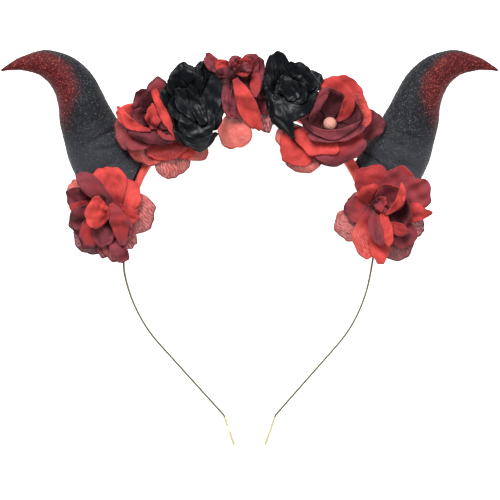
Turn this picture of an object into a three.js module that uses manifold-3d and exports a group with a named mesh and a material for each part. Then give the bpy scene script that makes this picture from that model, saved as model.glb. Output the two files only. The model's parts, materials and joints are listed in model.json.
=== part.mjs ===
// Devil horns headband, in millimetres: a spring steel hoop in a felt sleeve, with two curved
// horns and seven fabric roses, lying on its back with the roses facing up.
//
// The hoop is drawn in its own plane: +X to the right, +Y to the crown and +Z to the front, with
// the origin at the centre of its ellipse. The finished piece is tipped a little to lie on a flat
// surface on its two horns and its two end caps, with the origin below the middle of its box.
import * as THREE from "three";
import { mergeVertices } from "three/addons/utils/BufferGeometryUtils.js";
import Module from "manifold-3d";

const wasm = await Module();
wasm.setup();
const { degToRad } = THREE.MathUtils;

// Spring steel hoop: half an ellipse and more, then two straight legs with bent tips
const HOOP_HALF_WIDTH = 56;
const HOOP_HALF_HEIGHT = 63;
const LEG_START_DEG = -45;
const LEG_LENGTH = 42.2;
const TIP_BEND_DEG = 22.6;
const TIP_LENGTH = 13.8;
const STEEL_THICKNESS = 0.8;
const STEEL_WIDTH = 5;

// Felt sleeve round the upper part of the hoop
const FELT_WALL = 1.5;
const FELT_WIDTH = 14;
const FELT_EDGE = 1;
const FELT_END_DEG = 3;

// Clear plastic caps on the two tips
const CAP_WALL = 0.8;
const CAP_MOUTH = 0.8;

// Horns
const HORN_DEG = 25.5;
const HORN_REACH = 59.3;
const HORN_RISE = 55.5;
const HORN_WIDTH = 28;
const HORN_DEPTH = 24;

// Fabric roses, each threaded on a plain plastic core
const ROSE_RADIUS = 23;
const PETAL_WALL = 1;
const STEM_RADIUS = 2;
const CORE_RADIUS = 7;
const CORE_HEIGHT = 1.6;
const BUD_RADIUS = 5;
const BUD_HEIGHT = 11;
const BEAD_RADIUS = 3;

// The air between two pieces that touch, and how softly a petal bends where it is pressed
const GAP = 0.3;
const BEND = 3;
const CUT_TOLERANCE = 0.05;

// How a petal's cloth bends on its way out: over the first share of its length it turns up from
// lying flat, from another share on its rim curls down, and its edges stand up by some degrees
const PETAL_ROOT_SHARE = 0.3;
const PETAL_CURL_FROM = 0.55;
const PETAL_CURL_POWER = 1.5;
const PETAL_EDGE_DEG = 14;
const PETAL_LOBE_POWER = 2.6;
const STEPS_PER_ROW = 6;

// How finely the long pieces are divided, and how far a cut runs past what it cuts
const HOOP_STEPS = 44;
const SLEEVE_STEPS = 31;
const SEAT_STEPS = 12;
const SEAT_HALF_DEG = 25;
const HORN_RINGS = 15;
const HORN_SIDES = 12;
const PAST_DEG = 5;

const FELT_HALF = STEEL_THICKNESS / 2 + GAP + FELT_WALL;
const PETAL_PITCH = PETAL_WALL + 1.5 * GAP;

// The horn from its root to its point. out and rise are shares of its reach and its rise, and
// across is a share of its width.
const HORN_SECTIONS = [
  { out: -0.05, rise: -0.05, across: 0.82 },
  { out: 0.055, rise: 0.0, across: 0.89 },
  { out: 0.182, rise: 0.083, across: 0.95 },
  { out: 0.255, rise: 0.233, across: 1.0 },
  { out: 0.311, rise: 0.384, across: 0.95 },
  { out: 0.358, rise: 0.526, across: 0.86 },
  { out: 0.403, rise: 0.676, across: 0.76 },
  { out: 0.452, rise: 0.807, across: 0.67 },
  { out: 0.54, rise: 0.915, across: 0.57 },
  { out: 0.668, rise: 0.977, across: 0.44 },
  { out: 0.821, rise: 0.978, across: 0.255 },
  { out: 0.92, rise: 0.953, across: 0.13 },
  { out: 1.0, rise: 0.92, across: 0.03 },
];

// The rings of petals of a rose, from the outside in. length is a share of the rose's radius, cup
// is the petal's angle from the rose's axis and curl is what its rim adds to that, in degrees.
const PETAL_RINGS = [
  { ring: "outer", petals: 5, samples: 4, rows: 4, length: 1.0, notch: 0.62, cup: 74, curl: 20 },
  { ring: "middle", petals: 5, samples: 4, rows: 3, length: 0.86, notch: 0.72, cup: 46, curl: 30 },
  { ring: "inner", petals: 3, samples: 4, rows: 3, length: 0.68, notch: 0.8, cup: 20, curl: 24 },
];

// The bud at the heart of a rose, from its foot to its top, as shares of its radius and its height
const BUD_SECTIONS = [
  { wide: 0.6, high: 0 },
  { wide: 1, high: 0.35 },
  { wide: 0.92, high: 0.7 },
  { wide: 0.6, high: 1 },
];
const BUD_SIDES = 9;
const BUD_TWIST = 2;
const BUD_FOLD = 0.88;

// The roses, from the right end of the sleeve to the left one. at is the place on the hoop and
// out and along tip the rose away from the head and along the hoop, all in degrees. size is a
// share of the rose's radius.
const ROSES = [
  { rose: "red_rose_1", at: 12, out: 26, along: -22, spin: 10, size: 1.0, centre: "bud" },
  { rose: "red_rose_2", at: 54, out: 15, along: 0, spin: 40, size: 1.08, centre: "bead" },
  { rose: "black_rose_1", at: 71.5, out: 34, along: 0, spin: 0, size: 1.0, centre: "bud" },
  { rose: "red_rose_3", at: 92, out: 28, along: 0, spin: 25, size: 1.0, centre: "bud" },
  { rose: "black_rose_2", at: 112, out: 32, along: 0, spin: 50, size: 1.0, centre: "bud" },
  { rose: "red_rose_4", at: 129.5, out: 24, along: 4, spin: 15, size: 1.04, centre: "bud" },
  { rose: "red_rose_5", at: 168.5, out: 26, along: 22, spin: 30, size: 1.0, centre: "bud" },
];

// Where two roses press against each other: at is the place on the hoop, slant turns the border
// in the hoop's plane, and lean, in degrees too, lays the right rose over the left one.
const BORDERS = [
  { at: 31, slant: 0, lean: 0 },
  { at: 62.5, slant: 4, lean: 24 },
  { at: 83, slant: 0, lean: 20 },
  { at: 102, slant: 0, lean: 20 },
  { at: 120.5, slant: 0, lean: 24 },
  { at: 149, slant: 0, lean: 0 },
];

const COLOURS = {
  steel: { color: 0x8c8060, roughness: 0.35, metalness: 1 },
  felt: { color: 0xe8403a, roughness: 0.95, metalness: 0 },
  cap: { color: 0xf1ead2, roughness: 0.25, metalness: 0 },
  horn: { color: 0x1d2024, roughness: 0.7, metalness: 0.1 },
  red: { color: 0xb5262b, roughness: 0.85, metalness: 0 },
  black: { color: 0x15171b, roughness: 0.5, metalness: 0 },
  core: { color: 0x2c3a2a, roughness: 0.6, metalness: 0 },
  bead: { color: 0xc9938a, roughness: 0.25, metalness: 0 },
};

// A closed mesh as a solid, turned the right way out.
function solidOf(geometry) {
  const bare = new THREE.BufferGeometry();
  bare.setAttribute("position", geometry.getAttribute("position"));
  bare.setIndex(geometry.getIndex());
  const merged = mergeVertices(bare, 1e-4);
  const triVerts = new Uint32Array(merged.index.array);
  const vertProperties = new Float32Array(merged.attributes.position.array);
  const made = new wasm.Manifold(new wasm.Mesh({ numProp: 3, vertProperties, triVerts }));
  if (made.volume() > 0) return made;
  for (let i = 0; i < triVerts.length; i += 3) {
    [triVerts[i + 1], triVerts[i + 2]] = [triVerts[i + 2], triVerts[i + 1]];
  }
  return new wasm.Manifold(new wasm.Mesh({ numProp: 3, vertProperties, triVerts }));
}

// A solid as a geometry that three.js can show.
function geometryOf(solid) {
  const { numProp, numVert, vertProperties, triVerts } = solid.getMesh();
  const places = new Float32Array(numVert * 3);
  for (let i = 0; i < numVert; i++) {
    places.set(vertProperties.subarray(i * numProp, i * numProp + 3), i * 3);
  }
  const geometry = new THREE.BufferGeometry();
  geometry.setAttribute("position", new THREE.BufferAttribute(places, 3));
  geometry.setIndex(new THREE.BufferAttribute(new Uint32Array(triVerts), 1));
  geometry.computeVertexNormals();
  return geometry;
}

// The largest body of a solid that a cut may have left in several.
function largestOf(solid) {
  return solid.decompose().sort((a, b) => b.volume() - a.volume())[0].simplify(CUT_TOLERANCE);
}

function meshOf(name, solid, colour) {
  const mesh = new THREE.Mesh(geometryOf(solid), new THREE.MeshStandardMaterial(COLOURS[colour]));
  mesh.name = name;
  return mesh;
}

// A solid through rings of points, each ring closed on itself, with both ends closed by a fan.
function loftOf(rings) {
  const count = rings[0].length;
  const points = rings.flat();
  const faces = [];
  for (let i = 0; i + 1 < rings.length; i++) {
    for (let j = 0; j < count; j++) {
      const a = i * count + j;
      const b = i * count + ((j + 1) % count);
      faces.push(a, b, a + count, b, b + count, a + count);
    }
  }
  for (const [ring, end] of [[0, 1], [rings.length - 1, 0]]) {
    const middle = points.push(rings[ring].reduce((sum, p) => sum.add(p), new THREE.Vector3())
      .divideScalar(count)) - 1;
    for (let j = 0; j < count; j++) {
      const a = ring * count + j;
      const b = ring * count + ((j + 1) % count);
      faces.push(middle, ...(end ? [b, a] : [a, b]));
    }
  }
  return solidOf(new THREE.BufferGeometry().setFromPoints(points).setIndex(faces));
}

// Hoop
// A place on the hoop's centreline, with the direction away from the head and the one along it.
function hoopAt(deg) {
  const turn = degToRad(deg);
  const outward = new THREE.Vector3(
    Math.cos(turn) / HOOP_HALF_WIDTH,
    Math.sin(turn) / HOOP_HALF_HEIGHT,
    0,
  ).normalize();
  return {
    point: new THREE.Vector3(HOOP_HALF_WIDTH * Math.cos(turn), HOOP_HALF_HEIGHT * Math.sin(turn), 0),
    outward,
    along: new THREE.Vector3(-outward.y, outward.x, 0),
  };
}

// The right leg: where it leaves the ellipse, its bend and its end, with the way that each runs.
function legPlaces() {
  const start = hoopAt(LEG_START_DEG);
  const down = start.along.clone().negate();
  const bend = start.point.clone().addScaledVector(down, LEG_LENGTH);
  const front = new THREE.Vector3(0, 0, 1);
  const tipDown = down.clone().applyAxisAngle(front, degToRad(TIP_BEND_DEG));
  const half = down.clone().applyAxisAngle(front, degToRad(TIP_BEND_DEG / 2));
  const sideOf = (way) => new THREE.Vector3(-way.y, way.x, 0);
  return {
    tipDown,
    bend: { point: bend, outward: sideOf(half) },
    end: { point: bend.clone().addScaledVector(tipDown, TIP_LENGTH), outward: sideOf(tipDown) },
  };
}

const mirrored = ({ point, outward }) => ({
  point: new THREE.Vector3(-point.x, point.y, point.z),
  outward: new THREE.Vector3(-outward.x, outward.y, outward.z),
});

// A section, given as [away from the head, to the front] pairs, run through places of the hoop.
function runAlong(places, section) {
  return loftOf(places.map(({ point, outward }) => section.map(([out, front]) =>
    point.clone().addScaledVector(outward, out).add(new THREE.Vector3(0, 0, front)))));
}

const rectangle = (half, front) => [[half, front], [-half, front], [-half, -front], [half, -front]];

function arcPlaces(from, to, steps) {
  return Array.from({ length: steps + 1 }, (_, i) => hoopAt(from + ((to - from) * i) / steps));
}

function makeHoop() {
  const { bend, end } = legPlaces();
  const arc = arcPlaces(LEG_START_DEG, 180 - LEG_START_DEG, HOOP_STEPS);
  const places = [end, bend, ...arc, mirrored(bend), mirrored(end)];
  return runAlong(places, rectangle(STEEL_THICKNESS / 2, STEEL_WIDTH / 2));
}

function makeSleeve() {
  const out = FELT_HALF;
  const front = FELT_WIDTH / 2;
  const section = [
    [out, front - FELT_EDGE], [out - FELT_EDGE, front], [FELT_EDGE - out, front], [-out, front - FELT_EDGE],
    [-out, FELT_EDGE - front], [FELT_EDGE - out, -front], [out - FELT_EDGE, -front], [out, FELT_EDGE - front],
  ];
  const felt = runAlong(arcPlaces(FELT_END_DEG, 180 - FELT_END_DEG, SLEEVE_STEPS), section);
  const slot = rectangle(STEEL_THICKNESS / 2 + GAP, STEEL_WIDTH / 2 + GAP);
  const from = FELT_END_DEG - PAST_DEG;
  return felt.subtract(runAlong(arcPlaces(from, 180 - from, SLEEVE_STEPS), slot));
}

// End caps
function makeCap() {
  const half = STEEL_THICKNESS / 2 + GAP + CAP_WALL;
  const front = STEEL_WIDTH / 2 + GAP + CAP_WALL;
  const end = TIP_LENGTH + GAP + CAP_WALL;
  const outline = new THREE.Shape();
  outline.moveTo(-half, CAP_MOUTH);
  outline.lineTo(half, CAP_MOUTH);
  outline.lineTo(half, end - half);
  outline.absarc(0, end - half, half, 0, Math.PI, false);
  outline.closePath();
  const body = new THREE.ExtrudeGeometry(outline, {
    depth: 2 * front,
    bevelEnabled: false,
    curveSegments: 6,
  });
  body.translate(0, 0, -front);
  const bore = new THREE.BoxGeometry(2 * (half - CAP_WALL), TIP_LENGTH + GAP, 2 * (front - CAP_WALL));
  bore.translate(0, (TIP_LENGTH + GAP) / 2, 0);
  return solidOf(body).subtract(solidOf(bore));
}

function placeCap(mesh, side) {
  const { tipDown, bend } = legPlaces();
  mesh.position.set(side * bend.point.x, bend.point.y, 0);
  mesh.rotation.z = Math.atan2(tipDown.y, side * tipDown.x) - Math.PI / 2;
  return mesh;
}

// Horns
// The horn's centreline on the right side, its width in z, with extra added all round it.
function hornCurve(extra) {
  const root = hoopAt(HORN_DEG);
  const base = root.point.clone().addScaledVector(root.outward, FELT_HALF);
  return new THREE.CatmullRomCurve3(HORN_SECTIONS.map(({ out, rise, across }) => new THREE.Vector3(
    base.x + out * HORN_REACH,
    base.y + rise * HORN_RISE,
    across * HORN_WIDTH + 2 * extra,
  )));
}

// One horn, side 1 on the right and -1 on the left, cut to sit on the sleeve.
function makeHorn(side, extra = 0) {
  const curve = hornCurve(extra);
  const rings = Array.from({ length: HORN_RINGS + 1 }, (_, i) => {
    const { x, y, z: across } = curve.getPoint(i / HORN_RINGS);
    const way = curve.getTangent(i / HORN_RINGS).setZ(0).normalize();
    const edge = new THREE.Vector3(-way.y, way.x, 0).multiplyScalar(across / 2);
    const depth = (across * HORN_DEPTH) / HORN_WIDTH / 2;
    return Array.from({ length: HORN_SIDES }, (_, j) => {
      const turn = (2 * Math.PI * j) / HORN_SIDES;
      const point = new THREE.Vector3(x, y, depth * Math.sin(turn)).addScaledVector(edge, Math.cos(turn));
      point.x *= side;
      return point;
    });
  });
  const places = arcPlaces(HORN_DEG - SEAT_HALF_DEG, HORN_DEG + SEAT_HALF_DEG, SEAT_STEPS);
  const seat = runAlong(places, rectangle(FELT_HALF + GAP, HORN_DEPTH));
  return largestOf(loftOf(rings).subtract(side > 0 ? seat : seat.mirror([1, 0, 0])));
}

// How far the hoop is tipped so that its caps and its horns lie on one flat surface
function lyingTilt() {
  const capHalf = STEEL_WIDTH / 2 + GAP + CAP_WALL;
  const { end } = legPlaces();
  const slopes = hornCurve(0).getPoints(40).map(({ y, z: across }) =>
    ((across * HORN_DEPTH) / HORN_WIDTH / 2 - capHalf) / (y - end.point.y));
  return Math.atan(Math.max(...slopes));
}

// The surface that the headband lies on, in the hoop's own frame
function floorPlane() {
  const tilt = lyingTilt();
  const capHalf = STEEL_WIDTH / 2 + GAP + CAP_WALL;
  const up = new THREE.Vector3(0, Math.sin(tilt), Math.cos(tilt));
  const { end } = legPlaces();
  return new THREE.Plane().setFromNormalAndCoplanarPoint(up, end.point.clone().setZ(-capHalf));
}

// Roses
// Bends a point of a petal away from a plane and up along it, as cloth does that is pressed there.
function press(point, plane, clear) {
  const room = plane.distanceToPoint(point) - clear;
  if (room >= BEND) return;
  const shift = BEND * Math.exp((room - BEND) / BEND) - room;
  point.addScaledVector(plane.normal, shift);
  point.z += shift;
}

// A petal's outline from its middle, at 0, to its edges, at 1 either way.
const lobe = (t) => Math.sqrt(Math.max(0, 1 - Math.abs(t) ** PETAL_LOBE_POWER));

// The middle of a ring of petals, as columns round the stem, each from the stem to the rim.
function petalColumns({ petals, samples, rows, length, notch, cup, curl }, reach, lift) {
  const hole = STEM_RADIUS + GAP + PETAL_WALL / 2;
  return Array.from({ length: petals * samples }, (_, j) => {
    const turn = (2 * Math.PI * j) / (petals * samples);
    const t = (2 * (j % samples)) / samples - 1;
    const span = reach * length * (notch + (1 - notch) * lobe(t)) - hole;
    const column = [];
    const steps = rows * STEPS_PER_ROW;
    let r = hole;
    let h = lift;
    for (let i = 0; i <= steps; i++) {
      const s = i / steps;
      if (i % STEPS_PER_ROW === 0) column.push(new THREE.Vector3(r * Math.cos(turn), r * Math.sin(turn), h));
      const flat = (1 - Math.min(s / PETAL_ROOT_SHARE, 1)) ** 2;
      const rim = Math.max(0, (s - PETAL_CURL_FROM) / (1 - PETAL_CURL_FROM)) ** PETAL_CURL_POWER;
      const angle = degToRad(cup + (90 - cup) * flat + curl * rim - PETAL_EDGE_DEG * t * t * s);
      r += (Math.sin(angle) * span) / steps;
      h += (Math.cos(angle) * span) / steps;
    }
    return column;
  });
}

// A sheet of cloth round the stem, given its middle as columns, with a wall on both sides of it.
function clothRing(columns, wall = PETAL_WALL) {
  const count = columns.length;
  const rows = columns[0].length;
  const at = (j, k) => columns[(j + count) % count][Math.min(Math.max(k, 0), rows - 1)];
  const points = [];
  for (const side of [0.5, -0.5]) {
    for (let j = 0; j < count; j++) {
      for (let k = 0; k < rows; k++) {
        const round = at(j + 1, k).clone().sub(at(j - 1, k));
        const up = at(j, k + 1).clone().sub(at(j, k - 1));
        const normal = round.cross(up).normalize();
        points.push(at(j, k).clone().addScaledVector(normal, side * wall));
      }
    }
  }
  const faces = [];
  const index = (face, j, k) => face * count * rows + (j % count) * rows + k;
  const quad = (a, b, c, d) => faces.push(a, b, c, a, c, d);
  for (let j = 0; j < count; j++) {
    for (let k = 0; k + 1 < rows; k++) {
      quad(index(0, j, k), index(0, j + 1, k), index(0, j + 1, k + 1), index(0, j, k + 1));
      quad(index(1, j, k), index(1, j, k + 1), index(1, j + 1, k + 1), index(1, j + 1, k));
    }
    quad(index(0, j, rows - 1), index(0, j + 1, rows - 1), index(1, j + 1, rows - 1), index(1, j, rows - 1));
    quad(index(0, j, 0), index(1, j, 0), index(1, j + 1, 0), index(0, j + 1, 0));
  }
  return solidOf(new THREE.BufferGeometry().setFromPoints(points).setIndex(faces));
}

const STEM_TOP = CORE_HEIGHT + PETAL_RINGS.length * PETAL_PITCH + 2 * GAP;

function makeCore(extra = 0) {
  const seat = CORE_RADIUS + extra;
  const stem = STEM_RADIUS + extra;
  const profile = [
    [0, 0], [seat, 0], [seat, CORE_HEIGHT + extra], [stem, CORE_HEIGHT + extra],
    [stem, STEM_TOP + extra], [0, STEM_TOP + extra],
  ];
  const turned = new THREE.LatheGeometry(profile.map(([r, h]) => new THREE.Vector2(r, h)), 10);
  return solidOf(turned.rotateX(Math.PI / 2));
}

function makeBud() {
  const rings = BUD_SECTIONS.map(({ wide, high }) => Array.from({ length: BUD_SIDES }, (_, j) => {
    const turn = (2 * Math.PI * (j + high * BUD_TWIST)) / BUD_SIDES;
    const r = BUD_RADIUS * wide * (j % 3 === 0 ? 1 : BUD_FOLD);
    return new THREE.Vector3(r * Math.cos(turn), r * Math.sin(turn), STEM_TOP + GAP + high * BUD_HEIGHT);
  }));
  return loftOf(rings);
}

function makeBead() {
  const ball = new THREE.SphereGeometry(BEAD_RADIUS, 12, 8);
  ball.translate(0, 0, STEM_TOP + GAP + BEAD_RADIUS);
  return solidOf(ball);
}

// The border between two roses as a plane whose clear side is the one that side gives.
function borderPlane({ at, slant, lean }, side) {
  const { point, outward, along } = hoopAt(at);
  const front = new THREE.Vector3(0, 0, 1);
  const normal = along.clone()
    .applyAxisAngle(front, degToRad(slant))
    .applyAxisAngle(outward, degToRad(-lean))
    .multiplyScalar(side);
  point.addScaledVector(front, FELT_WIDTH / 2 + ROSE_RADIUS / 3);
  return new THREE.Plane().setFromNormalAndCoplanarPoint(normal, point);
}

// One rose as a group that stands on the front outer edge of the sleeve.
function makeRose(row, number, obstacles) {
  const { rose, at, out, along, spin, size, centre } = row;
  const place = hoopAt(at);
  const front = new THREE.Vector3(0, 0, 1);
  const axis = front.clone()
    .addScaledVector(place.outward, Math.tan(degToRad(out)))
    .addScaledVector(place.along, Math.tan(degToRad(along)))
    .normalize();
  const group = new THREE.Group();
  group.position.copy(place.point)
    .addScaledVector(place.outward, FELT_HALF - FELT_EDGE / 2)
    .addScaledVector(front, FELT_WIDTH / 2 - FELT_EDGE / 2)
    .addScaledVector(axis, GAP);
  const away = place.outward.clone().addScaledVector(axis, -place.outward.dot(axis)).normalize();
  const frame = new THREE.Matrix4().makeBasis(away, axis.clone().cross(away), axis);
  group.quaternion.setFromRotationMatrix(frame);
  group.updateMatrix();
  const intoRose = group.matrix.clone().invert();
  const planes = [floorPlane()];
  if (number > 0) planes.push(borderPlane(BORDERS[number - 1], 1));
  if (number < BORDERS.length) planes.push(borderPlane(BORDERS[number], -1));
  planes.forEach((plane) => plane.applyMatrix4(intoRose));
  const trim = (solid) => largestOf(obstacles.reduce((rest, obstacle) =>
    rest.subtract(obstacle.transform(intoRose.elements)), solid));

  const cloth = rose.startsWith("black") ? "black" : "red";
  group.add(meshOf(`${rose}_core`, trim(makeCore()), "core"));
  const laid = [makeCore(GAP / 2)];
  PETAL_RINGS.forEach((ring, layer) => {
    const lift = CORE_HEIGHT + GAP + PETAL_WALL / 2 + layer * PETAL_PITCH;
    const columns = petalColumns(ring, ROSE_RADIUS * size, lift);
    const turned = degToRad(spin + (layer * 180) / ring.petals);
    for (const point of columns.flat()) {
      point.applyAxisAngle(new THREE.Vector3(0, 0, 1), turned);
      planes.forEach((plane) => press(point, plane, PETAL_PITCH * (layer + 0.5)));
    }
    const petals = laid.reduce((rest, room) => rest.subtract(room), trim(clothRing(columns)));
    group.add(meshOf(`${rose}_${ring.ring}_petals`, largestOf(petals), cloth));
    laid.push(clothRing(columns, PETAL_WALL + 2 * GAP).add(clothRing(columns)));
  });
  const middle = laid.reduce((rest, room) => rest.subtract(room), centre === "bead" ? makeBead() : makeBud());
  group.add(meshOf(`${rose}_${centre}`, largestOf(middle), centre === "bead" ? "bead" : cloth));
  return group;
}

// Assembly
function makeHeadband() {
  const hoop = new THREE.Group();
  hoop.add(meshOf("steel_hoop", makeHoop(), "steel"));
  hoop.add(meshOf("felt_sleeve", makeSleeve(), "felt"));
  for (const [word, side] of [["right", 1], ["left", -1]]) {
    hoop.add(placeCap(meshOf(`${word}_end_cap`, makeCap(), "cap"), side));
    hoop.add(meshOf(`${word}_horn`, makeHorn(side), "horn"));
  }
  const sleeve = runAlong(arcPlaces(-PAST_DEG, 180 + PAST_DEG, SLEEVE_STEPS), rectangle(FELT_HALF + GAP, FELT_WIDTH / 2 + GAP));
  const obstacles = [makeHorn(1, GAP), makeHorn(-1, GAP), sleeve];
  ROSES.forEach((row, number) => hoop.add(makeRose(row, number, obstacles)));

  hoop.rotation.x = lyingTilt();
  const headband = new THREE.Group();
  headband.add(hoop);
  const box = new THREE.Box3().setFromObject(headband, true);
  const middle = box.getCenter(new THREE.Vector3());
  hoop.position.set(-middle.x, -middle.y, -box.min.z);
  return headband;
}

export default makeHeadband();
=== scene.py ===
"""Dresses a devil horns headband: a steel hoop in a felt sleeve, glitter horns and cloth roses.

Every length is in metres. The headband lies on its back, so most places are worked out in the
hoop's own plane (x to the right, y to the crown, z to the front of the roses) and then turned
into the row's frame.
"""
import json
import logging
import math
from dataclasses import dataclass, field
from enum import Enum
from typing import ClassVar

import bpy
import numpy as np
from mathutils import Matrix, Vector

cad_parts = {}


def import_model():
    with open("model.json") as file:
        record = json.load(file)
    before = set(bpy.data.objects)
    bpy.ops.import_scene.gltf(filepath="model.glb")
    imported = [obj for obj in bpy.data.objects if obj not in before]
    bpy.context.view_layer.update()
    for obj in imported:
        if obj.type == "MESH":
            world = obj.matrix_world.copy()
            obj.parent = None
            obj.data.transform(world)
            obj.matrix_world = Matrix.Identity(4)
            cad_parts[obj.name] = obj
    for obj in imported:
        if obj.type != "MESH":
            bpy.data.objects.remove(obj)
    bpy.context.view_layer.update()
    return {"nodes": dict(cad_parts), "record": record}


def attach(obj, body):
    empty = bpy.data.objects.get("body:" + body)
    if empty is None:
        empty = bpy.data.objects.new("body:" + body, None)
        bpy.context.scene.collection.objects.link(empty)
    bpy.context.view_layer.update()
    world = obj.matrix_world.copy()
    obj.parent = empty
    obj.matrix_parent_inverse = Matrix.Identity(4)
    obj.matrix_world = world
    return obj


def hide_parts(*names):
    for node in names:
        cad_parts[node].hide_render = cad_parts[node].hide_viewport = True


log = logging.getLogger("headband")

Colour = tuple[float, float, float]
Pixel = tuple[float, float]
Span = tuple[float, float]
Material = bpy.types.Material
Node = bpy.types.Node
Piece = bpy.types.Object
Socket = bpy.types.NodeSocket
Tree = bpy.types.NodeTree

MM = 0.001
GAP = 0.3 * MM
PHOTO_SIDE_PX = 500
MM_PER_PX = 0.45
HOOP_CENTRE_PX = (249.7, 246.0)
CAMERA_AWAY = 1.25
FRONT = np.array([0.0, 0.0, 1.0])


def smooth(low: float, high: float, value: np.ndarray) -> np.ndarray:
    """Rises smoothly from 0 at low to 1 at high.

    Args:
        low: where the rise starts.
        high: where it ends.
        value: the values to look up.

    Returns:
        The share from 0 to 1 for each value.
    """
    t = np.clip((value - low) / (high - low), 0.0, 1.0)
    return t * t * (3.0 - 2.0 * t)


def wavy(points: np.ndarray, scale: float, seed: int) -> np.ndarray:
    """A smooth wandering vector for each point, made of a few sine waves.

    Args:
        points: places, one row each.
        scale: the length of the longest wave.
        seed: picks the waves.

    Returns:
        A vector for each point, with parts from about -1 to 1.
    """
    rng = np.random.default_rng(seed)
    total = np.zeros_like(points)
    for octave, share in ((1.0, 0.6), (1.9, 0.3), (3.3, 0.15)):
        for axis in range(3):
            way = rng.normal(size=3)
            way *= 2.0 * math.pi * octave / (scale * np.linalg.norm(way))
            total[..., axis] += share * np.sin(points @ way + rng.uniform(0.0, 2.0 * math.pi))
    return total


def ring_turns(count: int) -> np.ndarray:
    """Evenly spaced turns round a ring, in radians."""
    return np.linspace(0.0, 2 * math.pi, count, endpoint=False)


def squared(turn: np.ndarray, power: float) -> tuple[np.ndarray, np.ndarray]:
    """A circle of radius 1 drawn out towards a square.

    Args:
        turn: the turns round the circle, in radians.
        power: 1 leaves the circle round, and less makes it squarer.

    Returns:
        How far each place is to the right and how far up.
    """
    right, up = np.cos(turn), np.sin(turn)
    return np.sign(right) * np.abs(right) ** power, np.sign(up) * np.abs(up) ** power


@dataclass(frozen=True)
class HoopFrame:
    """The plane of the hoop, found from the flat back of the felt sleeve at the crown."""

    record: dict
    half_width: float = 56 * MM
    half_height: float = 63 * MM
    felt_width: float = 14 * MM
    felt_half: float = 2.2 * MM

    def axes(self) -> tuple[Vector, Vector, Vector]:
        """The axes of the plane in the row's frame.

        Returns:
            The ways to the right, to the crown and to the front.
        """
        mount = self.crown_mount()
        front = -Vector(mount["axis"]).normalized()
        right = Vector((1.0, 0.0, 0.0))
        return right, front.cross(right).normalized(), front

    def crown_mount(self) -> dict:
        """The mount on the back of the sleeve at the crown."""
        return next(m for m in self.record["mounts"] if m["name"] == "crown_back")

    def matrix(self) -> Matrix:
        """Where the plane lies.

        Returns:
            The matrix that carries a place in the hoop's plane into the row's frame.
        """
        right, crown, front = self.axes()
        origin = Vector(self.crown_mount()["pos_m"])
        origin += front * (self.felt_width / 2) - crown * self.half_height
        turned = Matrix((right, crown, front)).transposed().to_4x4()
        return Matrix.Translation(origin) @ turned

    def to_row(self, points: np.ndarray) -> np.ndarray:
        """Places in the row's frame.

        Args:
            points: places in the hoop's frame, with three numbers in the last axis.

        Returns:
            The same places in the row's frame, in the same layout.
        """
        matrix = np.array(self.matrix())
        return points @ matrix[:3, :3].T + matrix[:3, 3]

    def at(self, deg: float) -> tuple[np.ndarray, np.ndarray, np.ndarray]:
        """A place on the hoop's centreline.

        Args:
            deg: the place, counted from the right end of the long axis.

        Returns:
            The point, the way out from the head and the way along the hoop.
        """
        turn = math.radians(deg)
        point = np.array([self.half_width * math.cos(turn), self.half_height * math.sin(turn), 0.0])
        out = np.array([math.cos(turn) / self.half_width, math.sin(turn) / self.half_height, 0.0])
        out /= np.linalg.norm(out)
        return point, out, np.array([-out[1], out[0], 0.0])


# Meshes

def put_in_scene(name: str, data: bpy.types.ID) -> Piece:
    """Puts a new object in the scene.

    Args:
        name: what it is called.
        data: its mesh, curve, camera or light.

    Returns:
        The object, at the origin.
    """
    thing = bpy.data.objects.new(name, data)
    bpy.context.scene.collection.objects.link(thing)
    return thing


def grid_faces(rows: int, columns: int, first: int, turned: bool = False, wrap: bool = False) -> list:
    """Four-sided faces over a grid of points laid out row by row.

    Args:
        rows: how many rows of points.
        columns: how many points in each row.
        first: the number of the first point.
        turned: whether the faces look the other way.
        wrap: whether the last column joins the first.

    Returns:
        The corner numbers of each face.
    """
    faces = []
    for i in range(rows - 1):
        for j in range(columns if wrap else columns - 1):
            a = first + i * columns + j
            b = first + i * columns + (j + 1) % columns
            face = (a, b, b + columns, a + columns)
            faces.append(face[::-1] if turned else face)
    return faces


def closed_faces(rows: int, columns: int, turned: bool = False) -> list:
    """Faces of a tube of rings that is closed at both ends round a point in the middle of each.

    Args:
        rows: how many rings.
        columns: how many points in each ring.
        turned: whether the faces look the other way.

    Returns:
        The corner numbers of each face. The middles' numbers follow those of the rings.
    """
    faces = grid_faces(rows, columns, 0, turned, wrap=True)
    hub = rows * columns
    last = hub - columns
    for j in range(columns):
        k = (j + 1) % columns
        for lid in ((hub, k, j), (hub + 1, last + j, last + k)):
            faces.append(lid[::-1] if turned else lid)
    return faces


def with_middles(rings: np.ndarray, first: int = 0, second: int = -1) -> np.ndarray:
    """The points of some rings, followed by the middles of two of them.

    Args:
        rings: rows of points.
        first: the number of the one ring.
        second: the number of the other one.

    Returns:
        The points, one row each.
    """
    return np.vstack([rings.reshape(-1, 3), rings[first].mean(axis=0), rings[second].mean(axis=0)])


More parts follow.
